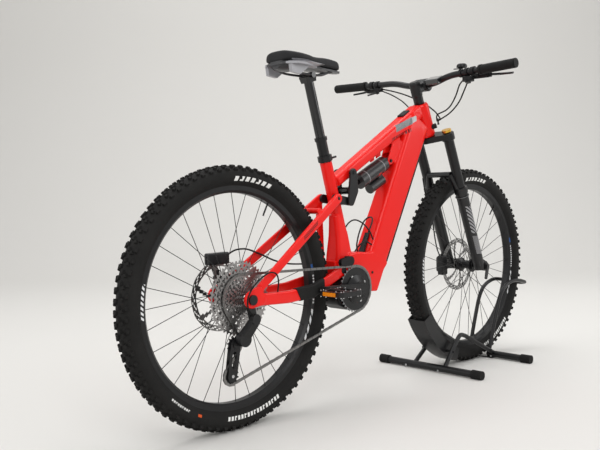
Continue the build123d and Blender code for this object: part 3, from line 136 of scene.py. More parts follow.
class Finish(Graph):
    """A procedural surface finish built on one principled shader."""

    def __init__(self, name, colour, roughness, **constants):
        self.material = bpy.data.materials.new(name)
        self.material.use_nodes = True
        super().__init__(self.material.node_tree)
        self.shader = self.tree.nodes["Principled BSDF"]
        self.place = self.add("ShaderNodeTexCoord", out="Object")
        self.colour = (*colour, 1.0)
        self.set("Base Color", self.colour)
        self.set("Roughness", roughness)
        for socket, value in constants.items():
            self.set(socket.replace("_", " "), value)

    def set(self, socket, value):
        if isinstance(value, Signal):
            self.tree.links.new(value.socket, self.shader.inputs[socket])
        else:
            self.shader.inputs[socket].default_value = value

    def noise(self, scale, detail=2.0, stretch=(1.0, 1.0, 1.0)):
        spot = self.add("ShaderNodeMapping", {}, {"Vector": self.place, "Scale": stretch})
        return self.add("ShaderNodeTexNoise", {}, {"Vector": spot, "Scale": scale, "Detail": detail})

    def tint(self, first, second, share):
        """A colour between two, by a share from 0 to 1."""
        first = first if isinstance(first, Signal) else (*first, 1.0)
        second = second if isinstance(second, Signal) else (*second, 1.0)
        node = self.tree.nodes.new("ShaderNodeMix")
        node.data_type = "RGBA"
        for index, value in ((0, share), (6, first), (7, second)):
            if isinstance(value, Signal):
                self.tree.links.new(value.socket, node.inputs[index])
            else:
                node.inputs[index].default_value = value
        return Signal(self, node.outputs[2])

    def bump(self, height, depth, strength=1.0):
        self.set("Normal", self.add("ShaderNodeBump", {}, {"Height": height, "Distance": depth, "Strength": strength},
                                    "Normal"))

    def axes(self, centre=(0.0, 0.0, 0.0)):
        """The three coordinates counted from a point."""
        moved = self.add("ShaderNodeVectorMath", {"operation": "SUBTRACT"}, {0: self.place, 1: centre})
        node = self.tree.nodes.new("ShaderNodeSeparateXYZ")
        self.tree.links.new(moved.socket, node.inputs[0])
        return [Signal(self, socket) for socket in node.outputs]

    def around(self, centre):
        """Distance from a wheel's axle, angle round it as a share of a turn, and side offset."""
        x, y, z = self.axes(centre)
        away = (x * x + z * z).maths("SQRT")
        share = z.maths("ARCTAN2", x) / TURN % 1.0
        return away, share, y


# ---- places ----------------------------------------------------------------------------------
def middle(node):
    low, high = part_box(node)
    return (Vector(low) + Vector(high)) / 2


REAR_AXLE = middle("rear_rim")
FRONT_AXLE = middle("front_rim")
RIM_RADIUS = (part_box("rear_rim")[1][2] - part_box("rear_rim")[0][2]) / 2
TYRE_RADIUS = REAR_AXLE.z


def at(x, y, z):
    """A point in millimetres forward of the rear axle, left of the middle and above the floor."""
    return Vector((REAR_AXLE.x + x / 1000, y / 1000, z / 1000))


# ---- finishes --------------------------------------------------------------------------------
def red_paint(name, marks=None):
    """Glossy red with a faint orange peel, and dark or grey marks where a frame tube carries them."""
    paint = Finish(name, (0.80, 0.008, 0.005), 0.3, Specular_IOR_Level=0.16, Coat_Weight=0.25, Coat_Roughness=0.07)
    cloud = paint.noise(5.0, 3.0)
    colour = paint.tint((0.74, 0.006, 0.004), (0.88, 0.011, 0.007), cloud)
    if marks:
        colour = marks(paint, colour)
    paint.set("Base Color", colour)
    paint.set("Roughness", 0.26 + paint.noise(60.0, 4.0) * 0.10)
    paint.bump(paint.noise(500.0, 1.0), 0.00003, 0.3)
    return paint.material


def frame_marks(paint, red):
    """A small grey panel and a dark band on the right of the top tube, and a thin dark line of dashes below."""
    x, y, z = paint.axes(at(0, 0, 0))
    rise = z - x * 0.389
    right = y < -0.012
    panel = x.between(0.715, 0.800) * rise.between(0.583, 0.607) * right
    stripes = (x * 300.0 % 1.0) > 0.35
    red = paint.tint(red, paint.tint((0.02, 0.02, 0.022), (0.30, 0.31, 0.32), stripes), panel)
    dashes = x.between(0.690, 0.790) * rise.between(0.560, 0.572) * right * ((x * 110.0 % 1.0) > 0.4)
    red = paint.tint(red, (0.10, 0.006, 0.006), dashes)
    cap = x.between(0.800, 0.822) * rise.between(0.586, 0.606) * right
    return paint.tint(red, (0.45, 0.45, 0.46), cap)


def stay_marks(paint, red):
    """Small dark dashes along the outside of the right seatstay."""
    x, y, z = paint.axes(at(0, 0, 0))
    fine = x.between(0.225, 0.292) * (y < -0.030) * (((x + z) * 150.0) % 1.0 > 0.42)
    height = (z - x * 0.66).between(0.371, 0.384)
    return paint.tint(red, (0.09, 0.006, 0.006), fine * height)


def black_metal():
    metal = Finish("black_metal", (0.006, 0.006, 0.0065), 0.34, Specular_IOR_Level=0.3, Coat_Weight=0.1,
                   Coat_Roughness=0.2)
    cloud = metal.noise(28.0, 4.0)
    metal.set("Base Color", metal.tint((0.004, 0.004, 0.0044), (0.010, 0.010, 0.011), cloud))
    metal.set("Roughness", 0.28 + metal.noise(140.0, 3.0) * 0.16)
    metal.bump(metal.noise(2600.0, 2.0), 0.00003, 0.5)
    return metal.material


def black_plastic():
    plastic = Finish("black_plastic", (0.008, 0.008, 0.0085), 0.5, Specular_IOR_Level=0.25)
    plastic.set("Base Color", plastic.tint((0.005, 0.005, 0.0055), (0.012, 0.012, 0.013), plastic.noise(22.0, 3.0)))
    plastic.set("Roughness", 0.42 + plastic.noise(300.0, 2.0) * 0.2)
    plastic.bump(plastic.noise(1500.0, 3.0), 0.00008, 0.6)
    return plastic.material


def gloss_black():
    tube = Finish("gloss_black", (0.005, 0.005, 0.0055), 0.12, Specular_IOR_Level=0.45, Coat_Weight=0.3,
                  Coat_Roughness=0.05)
    tube.set("Roughness", 0.1 + tube.noise(60.0, 4.0, (1, 1, 6)) * 0.12)
    return tube.material


def rubber():
    soft = Finish("soft_rubber", (0.008, 0.008, 0.008), 0.68, Specular_IOR_Level=0.2)
    soft.set("Base Color", soft.tint((0.006, 0.006, 0.006), (0.014, 0.0135, 0.013), soft.noise(30.0, 4.0)))
    soft.set("Roughness", 0.6 + soft.noise(200.0, 2.0) * 0.2)
    soft.bump(soft.noise(1800.0, 2.0), 0.0001, 0.5)
    return soft.material


def tyre_rubber(name, centre, marks):
    """Tyre rubber with moulded rings, dust, and pale slanted bars where marks run round the wall."""
    tyre = Finish(name, (0.010, 0.010, 0.010), 0.75, Specular_IOR_Level=0.2)
    away, share, _ = tyre.around(centre)
    dusty = tyre.tint((0.0065, 0.0063, 0.0062), (0.0165, 0.0158, 0.015), tyre.noise(18.0, 5.0))
    bars = None
    for start, length, low, high, count in marks:
        turned = (share - start) % 1.0
        slant = (turned / length * count + (away - low) * 18.0) % 1.0
        dash = (turned < length) * away.between(low, high) * (slant > 0.36)
        notch = 1.0 - ((turned / length * count / 3.0) % 1.0 > 0.86) * away.between(low + 0.35 * (high - low), high)
        dash = dash * notch
        bars = dash if bars is None else bars.maths("MAXIMUM", dash)
    dusty = tyre.tint(dusty, (0.62, 0.09, 0.02), ((share - 0.675) % 1.0 < 0.006) * away.between(0.3275, 0.3345))
    tyre.set("Base Color", tyre.tint(dusty, (0.78, 0.78, 0.76), bars))
    tyre.set("Roughness", 0.66 + tyre.noise(240.0, 3.0) * 0.2)
    rings = (away * 420.0 % 1.0 > 0.8) * away.between(0.321, 0.327)
    ribs = (share * 260.0 % 1.0 > 0.6) * away.between(0.337, 0.339)
    tyre.bump(tyre.noise(900.0, 3.0) * 0.4 + rings + ribs * 0.7, 0.0004, 0.6)
    return tyre.material


def rim_finish(name, centre, start):
    """Satin black rim with pale and blue generic decal blocks on both walls."""
    rim = Finish(name, (0.006, 0.006, 0.0065), 0.36, Specular_IOR_Level=0.35)
    away, share, _ = rim.around(centre)
    wall = away.between(RIM_RADIUS - 0.0140, RIM_RADIUS - 0.0060)
    near = (share - start) % 1.0
    far = (share - start - 0.5) % 1.0
    big = near.between(0.0, 0.050) * ((near * 70.0 + away * 60.0) % 1.0 > 0.38) * wall
    fine = near.between(0.058, 0.105) * ((near * 210.0) % 1.0 > 0.4)
    fine = fine * away.between(RIM_RADIUS - 0.0125, RIM_RADIUS - 0.0065)
    back = far.between(0.050, 0.098) * ((far * 150.0 + away * 60.0) % 1.0 > 0.45) * wall
    blue = near.between(0.112, 0.122) * wall
    block = big.maths("MAXIMUM", back)
    base = rim.tint((0.004, 0.004, 0.0044), (0.010, 0.010, 0.011), rim.noise(25.0, 3.0))
    base = rim.tint(base, (0.75, 0.76, 0.77), block.maths("MAXIMUM", fine))
    rim.set("Base Color", rim.tint(base, (0.02, 0.09, 0.30), blue))
    rim.set("Roughness", 0.3 + rim.noise(160.0, 2.0) * 0.14)
    return rim.material


def machined(name, colour, roughness, centre, fineness=900.0):
    """Turned or ground metal, with fine rings round its own axis."""
    metal = Finish(name, colour, roughness, Metallic=1.0)
    away, _, _ = metal.around(centre)
    rings = metal.add("ShaderNodeTexNoise", {"noise_dimensions": "1D"}, {"W": away, "Scale": fineness, "Detail": 2.0})
    dark = tuple(0.72 * part for part in colour)
    metal.set("Base Color", metal.tint(dark, colour, rings))
    metal.set("Roughness", roughness - 0.08 + rings * 0.18)
    return metal.material


def chain_steel():
    steel = Finish("chain_steel", (0.42, 0.42, 0.43), 0.3, Metallic=1.0)
    steel.set("Base Color", steel.tint((0.10, 0.096, 0.092), (0.34, 0.335, 0.33), steel.noise(260.0, 3.0)))
    steel.set("Roughness", 0.22 + steel.noise(500.0, 2.0) * 0.22)
    return steel.material


def gold_alloy():
    gold = Finish("gold_alloy", (0.72, 0.42, 0.06), 0.28, Metallic=0.9)
    gold.set("Roughness", 0.22 + gold.noise(400.0, 2.0) * 0.14)
    return gold.material


def saddle_finish():
    """Black cover with a fine grain, and a pale grey lower edge at the rear."""
    low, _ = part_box("saddle_pad")
    cover = Finish("saddle_cover", (0.009, 0.009, 0.010), 0.62, Specular_IOR_Level=0.3)
    x, y, z = cover.axes((low[0], 0.0, low[2]))
    edge = y.maths("ABSOLUTE") + x * 0.30
    band = (edge > 0.058) * (z - 0.001).between(0.0, 0.0075) * (x < 0.14)
    grain = cover.add("ShaderNodeTexVoronoi", {}, {"Vector": cover.place, "Scale": 900.0})
    black = cover.tint((0.006, 0.006, 0.007), (0.015, 0.015, 0.017), cover.noise(40.0, 4.0))
    cover.set("Base Color", cover.tint(black, (0.30, 0.30, 0.32), band))
    cover.set("Roughness", 0.52 + grain * 0.2)
    cover.bump(grain + cover.noise(1400.0, 2.0) * 0.4, 0.00025, 0.6)
    return cover.material


def screen_glass():
    glass = Finish("screen_glass", (0.012, 0.014, 0.016), 0.08, Coat_Weight=1.0, Coat_Roughness=0.03)
    glass.set("Roughness", 0.06 + glass.noise(120.0, 3.0) * 0.08)
    return glass.material


def pedal_finish(name, centre):
    """Satin black pedal with amber reflectors at its front and rear."""
    pedal = Finish(name, (0.008, 0.008, 0.0085), 0.35, Specular_IOR_Level=0.35)
    x, y, z = pedal.axes(centre)
    amber = x.maths("ABSOLUTE") > 0.0482
    black = pedal.tint((0.005, 0.005, 0.0055), (0.014, 0.014, 0.015), pedal.noise(60.0, 4.0))
    facets = (y * 330.0 % 1.0 > 0.5) * 0.5 + (z * 330.0 % 1.0 > 0.5) * 0.5
    orange = pedal.tint((0.62, 0.16, 0.004), (0.85, 0.30, 0.012), facets)
    pedal.set("Base Color", pedal.tint(black, orange, amber))
    pedal.set("Roughness", 0.36 - amber * 0.18 + pedal.noise(200.0, 2.0) * 0.08)
    return pedal.material


def fork_finish():
    """Satin black fork legs with thin grey generic lines down the outside."""
    leg = Finish("fork_black", (0.006, 0.006, 0.0065), 0.3, Specular_IOR_Level=0.4, Coat_Weight=0.15,
                 Coat_Roughness=0.15)
    x, y, z = leg.axes((0, 0, 0))
    outside = y.maths("ABSOLUTE") > 0.081
    bars = z.between(0.50, 0.60) * outside * ((z * 90.0 + x * 60.0) % 1.0 > 0.45)
    strip = z.between(0.42, 0.49) * outside * ((z * 260.0) % 1.0 > 0.5)
    base = leg.tint((0.004, 0.004, 0.0044), (0.009, 0.009, 0.010), leg.noise(24.0, 3.0))
    leg.set("Base Color", leg.tint(base, (0.30, 0.30, 0.31), bars.maths("MAXIMUM", strip)))
    leg.set("Roughness", 0.24 + leg.noise(160.0, 2.0) * 0.16)
    return leg.material


RED = red_paint("red_paint")
FRAME_RED = red_paint("frame_red", frame_marks)
STAY_RED = red_paint("stay_red", stay_marks)
BLACK = black_metal()
PLASTIC = black_plastic()
GLOSS = gloss_black()
RUBBER = rubber()
CHAIN = chain_steel()
GOLD = gold_alloy()
FORK = fork_finish()


def dress(material, *nodes):
    """Gives modelled nodes their finish."""
    for name in nodes:
        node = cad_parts[name]
        if not node.material_slots:
            node.data.materials.append(material)
        for slot in node.material_slots:
            slot.material = material


dress(RED, "chainstays")
dress(FRAME_RED, "head_tube", "seat_tube", "top_tube", "down_tube")
dress(STAY_RED, "seatstays")
dress(BLACK, "dropper_outer", "bottle_cage", "fork_crown", "stem", "handlebar", "bell", "brake_lever_right",
      "brake_lever_left", "remote_lever", "bell_striker", "rear_fittings", "derailleur", "front_caliper",
      "link", "rocker", "shock_body", "crankset", "stand_base", "stand_frame", "stand_trough", "front_hub", "rear_hub")
dress(FORK, "fork_lowers")
dress(PLASTIC, "battery", "battery_cover", "drive_unit", "chain_guide", "frame_fittings", "bar_controls",
      "shift_lever", "upper_jockey", "lower_jockey", "saddle_base")
dress(RUBBER, "front_hoses", "rear_hoses", "stand_caps", "grips")
dress(GLOSS, "seatpost", "shock_shaft")
dress(GOLD, "compression_knob")
dress(screen_glass(), "display")
dress(rim_finish("rear_rim_black", REAR_AXLE, 0.915), "rear_rim")
dress(rim_finish("front_rim_black", FRONT_AXLE, 0.925), "front_rim")
dress(pedal_finish("pedal_right_black", middle("pedal_right")), "pedal_right")
dress(pedal_finish("pedal_left_black", middle("pedal_left")), "pedal_left")


# ---- mesh helpers ----------------------------------------------------------------------------
def make_piece(name, points, faces, material, smooth=40.0):
    """A mesh object whose faces point outwards and whose flat edges stay crisp."""
    mesh = bpy.data.meshes.new(name)
    mesh.from_pydata([tuple(point) for point in points], [], faces)
    shape = bmesh.new()
    shape.from_mesh(mesh)
    bmesh.ops.remove_doubles(shape, verts=shape.verts, dist=1e-7)
    bmesh.ops.recalc_face_normals(shape, faces=shape.faces)
    shape.to_mesh(mesh)
    shape.free()
    mesh.materials.append(material)
    piece = bpy.data.objects.new(name, mesh)
    bpy.context.scene.collection.objects.link(piece)
    mesh.shade_smooth()
    mesh.set_sharp_from_angle(angle=math.radians(smooth))
    return piece


def settle(piece, body, slot, *replaced):
    """Puts a finished piece on its body and lets it stand for modelled nodes."""
    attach(piece, body)
    if replaced:
        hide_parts(*replaced)
    return piece


def around_axle(centre, radius, angle, side):
    return Vector((centre.x + radius * math.cos(angle), centre.y + side, centre.z + radius * math.sin(angle)))


def spun_points(centre, profile, steps):
    """Points and faces of a closed (radius, side) outline turned about a wheel's axle."""
    points = []
    faces = []
    count = len(profile)
    for step in range(steps):
        angle = TURN * step / steps
        for radius, side in profile:
            points.append(around_axle(centre, radius, angle, side))
    for step in range(steps):
        here = step * count
        there = (step + 1) % steps * count
        for index in range(count):
            after = (index + 1) % count
            faces.append((here + index, here + after, there + after, there + index))
    return points, faces


def plate_points(centre, rings, side, thickness, keep=None):
    """A flat plate between rings of radii, one list per ring; keep says which cells are metal."""
    points = []
    faces = []
    steps = len(rings[0])
    for face_side in (side + thickness / 2, side - thickness / 2):
        for ring in rings:
            for step, radius in enumerate(ring):
                points.append(around_axle(centre, radius, TURN * step / steps, face_side))
    count = len(rings)
    layer = count * steps

    def solid(row, step):
        return 0 <= row < count - 1 and (keep is None or keep(row, step % steps))

    for row in range(count - 1):
        for step in range(steps):
            if not solid(row, step):
                continue
            after = (step + 1) % steps
            a, b = row * steps + step, row * steps + after
            c, d = (row + 1) * steps + after, (row + 1) * steps + step
            faces.append((a, b, c, d))
            faces.append((a + layer, d + layer, c + layer, b + layer))
            for first, second, neighbour in ((a, b, (row - 1, step)), (d, c, (row + 1, step)),
                                             (a, d, (row, step - 1)), (b, c, (row, step + 1))):
                if not solid(*neighbour):
                    faces.append((first, second, second + layer, first + layer))
    return points, faces


def add_part(points, faces, more):
    """Adds one shape's points and faces to another's."""
    start = len(points)
    points.extend(more[0])
    faces.extend(tuple(start + index for index in face) for face in more[1])


def loft_points(sections):
    """A capped skin through closed sections with the same number of points."""
    points = [point for ring in sections for point in ring]
    count = len(sections[0])
    faces = []
    for row in range(len(sections) - 1):
        for step in range(count):
            after = (step + 1) % count
            faces.append((row * count + step, row * count + after, (row + 1) * count + after, (row + 1) * count + step))
    faces.append(tuple(range(count)))
    faces.append(tuple(reversed(range(len(points) - count, len(points)))))
    return points, faces


def rod_points(start, end, radius, sides=10, end_radius=None):
    """A capped round rod between two points."""
    start, end = Vector(start), Vector(end)
    line = (end - start).normalized()
    across = line.orthogonal().normalized()
    other = line.cross(across)
    points = []
    for place, size in ((start, radius), (end, radius if end_radius is None else end_radius)):
        for index in range(sides):
            angle = TURN * index / sides
            points.append(place + (across * math.cos(angle) + other * math.sin(angle)) * size)
    faces = [tuple(reversed(range(sides))), tuple(range(sides, 2 * sides))]
    for index in range(sides):
        after = (index + 1) % sides
        faces.append((index, after, sides + after, sides + index))
    return points, faces


# ---- geometry trees --------------------------------------------------------------------------
def new_tree(name, sockets):
    tree = bpy.data.node_groups.new(name, "GeometryNodeTree")
    for label, kind in sockets:
        tree.interface.new_socket(name=label, in_out="INPUT", socket_type=kind)
    tree.interface.new_socket(name="Geometry", in_out="OUTPUT", socket_type="NodeSocketGeometry")
    graph = Graph(tree)
    start = tree.nodes.new("NodeGroupInput")
    given = {label: Signal(graph, start.outputs[label]) for label, kind in sockets}
    return tree, graph, given


def close_tree(tree, graph, shape, material):
    real = graph.add("GeometryNodeRealizeInstances", {}, {"Geometry": shape})
    done = graph.add("GeometryNodeSetMaterial", {}, {"Geometry": real, "Material": material})
    end = tree.nodes.new("NodeGroupOutput")
    tree.links.new(done.socket, end.inputs["Geometry"])


def run_tree(name, tree, values, source=None):
    """Runs a tree on a mesh or curve and returns the result as a plain mesh."""
    data = source if source is not None else bpy.data.meshes.new(name + "_seed")
    carrier = bpy.data.objects.new(name + "_carrier", data)
    bpy.context.scene.collection.objects.link(carrier)
    modifier = carrier.modifiers.new("shape", "NODES")
    modifier.node_group = tree
    identifiers = {item.name: item.identifier for item in tree.interface.items_tree if item.in_out == "INPUT"}
    for label, value in values.items():
        modifier[identifiers[label]] = value
    bpy.context.view_layer.update()
    evaluated = carrier.evaluated_get(bpy.context.evaluated_depsgraph_get())
    mesh = bpy.data.meshes.new_from_object(evaluated)
    carrier.modifiers.clear()
    bpy.data.objects.remove(carrier)
    return mesh


def mesh_parts(mesh):
    return [vertex.co.copy() for vertex in mesh.vertices], [tuple(face.vertices) for face in mesh.polygons]


def knob_tree():
    """A ring of tapered tread knobs standing out from a tyre."""
    tree, graph, given = new_tree("tread_knobs", [
        ("Geometry", "NodeSocketGeometry"), ("Count", "NodeSocketInt"), ("Radius", "NodeSocketFloat"),
        ("Side", "NodeSocketFloat"), ("Start", "NodeSocketFloat"), ("Size", "NodeSocketVector"),
        ("Lean", "NodeSocketFloat"), ("Tilt", "NodeSocketFloat"), ("Taper", "NodeSocketFloat"),
        ("Material", "NodeSocketMaterial")])
    ring = graph.add("GeometryNodeMeshCircle", {"fill_type": "NONE"}, {"Vertices": given["Count"], "Radius": 1.0})
    index = graph.add("GeometryNodeInputIndex")
    angle = (index + given["Start"]) * TURN / given["Count"]
    reach_x = angle.maths("COSINE") * given["Radius"]
    reach_y = angle.maths("SINE") * given["Radius"]
    spot = graph.add("ShaderNodeCombineXYZ", {}, {"X": reach_x, "Y": reach_y, "Z": given["Side"]})
    placed = graph.add("GeometryNodeSetPosition", {}, {"Geometry": ring, "Position": spot})
    cube = graph.add("GeometryNodeMeshCube", {}, {"Size": (1.0, 1.0, 1.0)})
    spot = graph.add("GeometryNodeInputPosition")
    split = graph.tree.nodes.new("ShaderNodeSeparateXYZ")
    graph.tree.links.new(spot.socket, split.inputs[0])
    x, y, z = [Signal(graph, socket) for socket in split.outputs]
    narrow = 1.0 - (x > 0.0) * given["Taper"]
    shaped = graph.add("ShaderNodeCombineXYZ", {}, {"X": x, "Y": y * narrow, "Z": z * narrow})
    knob = graph.add("GeometryNodeSetPosition", {}, {"Geometry": cube, "Position": shaped})
    sized = graph.add("GeometryNodeTransform", {}, {"Geometry": knob, "Scale": given["Size"]})
    turned = graph.add("ShaderNodeCombineXYZ", {}, {"X": given["Lean"], "Y": given["Tilt"], "Z": 0.0})
    leaned = graph.add("GeometryNodeTransform", {}, {"Geometry": sized, "Rotation": turned})
    facing = graph.add("ShaderNodeCombineXYZ", {}, {"X": 0.0, "Y": 0.0, "Z": angle})
    set_out = graph.add("GeometryNodeInstanceOnPoints", {},
                        {"Points": placed, "Instance": leaned, "Rotation": facing})
    close_tree(tree, graph, set_out, given["Material"])
    return tree


KNOBS = knob_tree()


def tyre_piece(name, centre, body, marks):
    """A tyre casing with its rows of knobs."""
    material = tyre_rubber(name + "_rubber", centre, marks)
    crown = TYRE_RADIUS - 0.0048
    profile = []
    for step in range(15):
        turn = math.radians(-118 + 236 * step / 14)
        radius = crown - CASING_RADIUS + CASING_RADIUS * math.cos(turn) * (1.0 if abs(turn) < 1.57 else 1.25)
        profile.append((max(radius, RIM_RADIUS - 0.006), CASING_HALF_WIDTH * math.sin(turn) * 0.985))
    profile = [(RIM_RADIUS - 0.007, -0.0142)] + profile + [(RIM_RADIUS - 0.007, 0.0142)]
    points, faces = spun_points(centre, profile, 180)
    rows = [(crown + 0.0014, 0.0062, 0.0, KNOB_SIZE, 0.10, 0.0),
            (crown + 0.0014, -0.0062, 0.5, KNOB_SIZE, -0.10, 0.0),
            (crown - 0.0016, 0.0168, 0.28, SHOULDER_SIZE, 0.35, 0.36),
            (crown - 0.0016, -0.0168, 0.78, SHOULDER_SIZE, -0.35, -0.36),
            (crown - 0.0082, 0.0262, 0.02, SIDE_SIZE, 0.0, 0.74),
            (crown - 0.0082, -0.0262, 0.52, SIDE_SIZE, 0.0, -0.74)]
    for radius, side, start, size, lean, tilt in rows:
        mesh = run_tree(name, KNOBS, {"Count": KNOBS_PER_ROW, "Radius": radius, "Side": side, "Start": start,
                                      "Size": size, "Lean": lean, "Tilt": -tilt, "Taper": 0.24, "Material": material})
        knob_points, knob_faces = mesh_parts(mesh)
        upright = [Vector((centre.x + point.x, centre.y + point.z, centre.z + point.y)) for point in knob_points]
        add_part(points, faces, (upright, knob_faces))
    piece = make_piece(name, points, faces, material, 32.0)
    return settle(piece, body, "tyre_rubber", name.replace("_cover", "_tyre"))


tyre_piece("rear_cover", REAR_AXLE, "rear_wheel",
           [(0.187, 0.068, 0.3255, 0.3385, 7), (0.725, 0.095, 0.3265, 0.3375, 17), (0.625, 0.035, 0.3275, 0.3335, 9)])
tyre_piece("front_cover", FRONT_AXLE, "front_wheel",
           [(0.205, 0.068, 0.3255, 0.3385, 7), (0.78, 0.095, 0.3265, 0.3375, 17)])


def rotor_piece(name, centre, side, body):
    """A brake disc with a waved, vented ring and swept arms."""
    steps = 288
    radii = (0.0165, 0.023, 0.036, 0.049, 0.062, 0.075, 0.0845, 0.0885, 0.0920, 0.0952, 0.0985, 0.1010)
    rings = []
    for radius in radii:
        wave = 0.0005 if radius > 0.08 else 0.0
        rings.append([radius + wave * math.cos(12 * TURN * step / steps) for step in range(steps)])

    def metal(row, step):
        if row in (0, 6, 10):
            return True
        if row < 6:
            return (step + row * 4) % 48 < (9, 9, 8, 7, 7, 8)[row]
        return (step + (row - 7) * 4) % 12 > 3

    material = machined(name + "_steel", (0.30, 0.295, 0.29), 0.34, centre, 2600.0)
    points, faces = plate_points(centre, rings, side, 0.0018, metal)
    carrier = spun_points(centre, [(0.0098, side - 0.0022), (0.021, side - 0.0022), (0.021, side + 0.0022),
                                   (0.0098, side + 0.0022)], 48)
    add_part(points, faces, carrier)
    piece = make_piece(name, points, faces, material, 30.0)
    return settle(piece, body, "steel", name.replace("_disc", "_rotor"))


rotor_piece("rear_disc", REAR_AXLE, middle("rear_rotor").y, "rear_wheel")
rotor_piece("front_disc", FRONT_AXLE, middle("front_rotor").y, "front_wheel")


# ---- drivetrain ------------------------------------------------------------------------------
PITCH = 0.0127
COGS = [51, 45, 39, 33, 28, 24, 21, 18, 16, 14, 12, 10]
COG_STEP = 0.0036
FIRST_COG = -0.029


def pitch_radius(teeth):
    return teeth * PITCH / TURN


def toothed_points(centre, teeth, side, thickness, inner, arms=0, depth=0.0040):
    """A sprocket plate with real teeth, and arms between its ring and its middle."""
    root = pitch_radius(teeth) - depth
    tip = pitch_radius(teeth) + 0.0022
    per = 8
    steps = teeth * per
    shape = (0.0, 0.0, 0.35, 0.92, 1.0, 0.92, 0.35, 0.0)
    outline = [root + (tip - root) * shape[step % per] for step in range(steps)]
    rim = [min(root - 0.0016, radius) for radius in outline]
    span = root - 0.0016 - inner
    rings = [[inner + span * share] * steps for share in (0.0, 0.16, 0.50, 0.62, 0.92)] + [rim, outline]

    def metal(row, step):
        if not arms or row in (0, 4, 5):
            return True
        around = (step * arms / steps + (0.5 if row == 3 else 0.0)) % 1.0
        return around < (0.28 if row == 1 else 0.46)

    return plate_points(centre, rings, side, thickness, metal)


def cassette_piece():
    points, faces = [], []
    for index, teeth in enumerate(COGS):
        inner = 0.0172
        if index < len(COGS) - 2:
            inner = max(pitch_radius(COGS[index + 2]) - 0.007, 0.0172)
        if index == len(COGS) - 1:
            inner = 0.0105
        arms = teeth // 2 if index < 8 else 0
        add_part(points, faces, toothed_points(REAR_AXLE, teeth, FIRST_COG - index * COG_STEP, 0.0017, inner, arms))
    core = spun_points(REAR_AXLE, [(0.0098, -0.0275), (0.0185, -0.0275), (0.0185, -0.066), (0.0145, -0.0705),
                                   (0.0098, -0.0705)], 64)
    add_part(points, faces, core)
    piece = make_piece("cassette_cogs", points, faces,
                       machined("cog_alloy", (0.40, 0.39, 0.385), 0.3, REAR_AXLE, 1500.0), 28.0)
    return settle(piece, "cassette", "bare_alloy", "cassette")


cassette_piece()

BRACKET = at(462, 0, 353)
RING_TEETH = 36
CHAIN_LINE = -0.052
COG_LINE = FIRST_COG - 3 * COG_STEP
points, faces = toothed_points(BRACKET, RING_TEETH, CHAIN_LINE, 0.0019, 0.050, 0)
ring = make_piece("chainring_teeth", points, faces, machined("ring_steel", (0.30, 0.30, 0.31), 0.32, BRACKET), 28.0)
settle(ring, "crankset", "steel")

for name, node in (("upper_jockey_teeth", "upper_jockey"), ("lower_jockey_teeth", "lower_jockey")):
    centre = middle(node)
    points, faces = toothed_points(Vector((centre.x, 0, centre.z)), 12, COG_LINE, 0.0019, 0.0075, 0, 0.0042)
    settle(make_piece(name, points, faces, PLASTIC, 28.0), node, "black_plastic")


def link_mesh(name, half_gap, waist, thickness=0.0009):
    """Two side plates and the rollers of one chain link, lying along X."""
    points, faces = [], []
    for side in (-1, 1):
        outline = []
        for end in (-1, 1):
            for step in range(6):
                angle = math.radians(-75 + 30 * step) + (math.pi if end < 0 else 0)
                outline.append((end * PITCH / 2 + 0.0039 * math.cos(angle), 0.0037 * math.sin(angle)))
        outline = [(x, z * (waist if abs(x) < 0.0058 else 1.0)) for x, z in outline]
        near = side * half_gap
        far = side * (half_gap + thickness)
        start = len(points)
        count = len(outline)
        points += [Vector((x, near, z)) for x, z in outline] + [Vector((x, far, z)) for x, z in outline]
        faces.append(tuple(start + index for index in range(count)))
        faces.append(tuple(start + count + index for index in reversed(range(count))))
        for index in range(count):
            after = (index + 1) % count
            faces.append((start + index, start + after, start + count + after, start + count + index))
    add_part(points, faces, rod_points((PITCH / 2, -0.0026, 0), (PITCH / 2, 0.0026, 0), 0.0019, 8))
    mesh = bpy.data.meshes.new(name)
    mesh.from_pydata([tuple(point) for point in points], [], faces)
    return bpy.data.objects.new(name, mesh)


def tangent_angles(first, first_radius, second, second_radius, crossed, sign):
    """Angles of the contact points of a line touching two circles."""
    away = math.hypot(second[0] - first[0], second[1] - first[1])
    base = math.atan2(second[1] - first[1], second[0] - first[0])
    span = first_radius + second_radius if crossed else first_radius - second_radius
    lean = math.acos(span / away)
    one = base + sign * lean
    return (one, one + math.pi) if crossed else (one, one)


def chain_route():
    """The closed line of the chain, as points and side offsets."""
    cog = (REAR_AXLE.x, REAR_AXLE.z, pitch_radius(33), COG_LINE)
    crank = (BRACKET.x, BRACKET.z, pitch_radius(RING_TEETH), CHAIN_LINE)
    upper = (middle("upper_jockey").x, middle("upper_jockey").z, pitch_radius(12), COG_LINE)
    lower = (middle("lower_jockey").x, middle("lower_jockey").z, pitch_radius(12), COG_LINE)
    top, _ = tangent_angles(cog[:2], cog[2], crank[:2], crank[2], False, 1)
    low, _ = tangent_angles(lower[:2], lower[2], crank[:2], crank[2], False, -1)
    leave_cog, enter_upper = tangent_angles(cog[:2], cog[2], upper[:2], upper[2], True, -1)
    leave_upper, enter_lower = tangent_angles(upper[:2], upper[2], lower[:2], lower[2], True, 1)
    route = []

    def arc(circle, start, end, clockwise):
        turn = (end - start) % TURN
        if clockwise:
            turn -= TURN
        steps = max(3, int(abs(turn) * circle[2] / 0.004))
        for step in range(steps + 1):
            angle = start + turn * step / steps
            route.append(Vector((circle[0] + circle[2] * math.cos(angle), circle[3],
                                 circle[1] + circle[2] * math.sin(angle))))

    arc(crank, top, low, True)
    arc(lower, low, enter_lower, True)
    arc(upper, leave_upper, enter_upper, False)
    arc(cog, leave_cog, top, True)
    return route


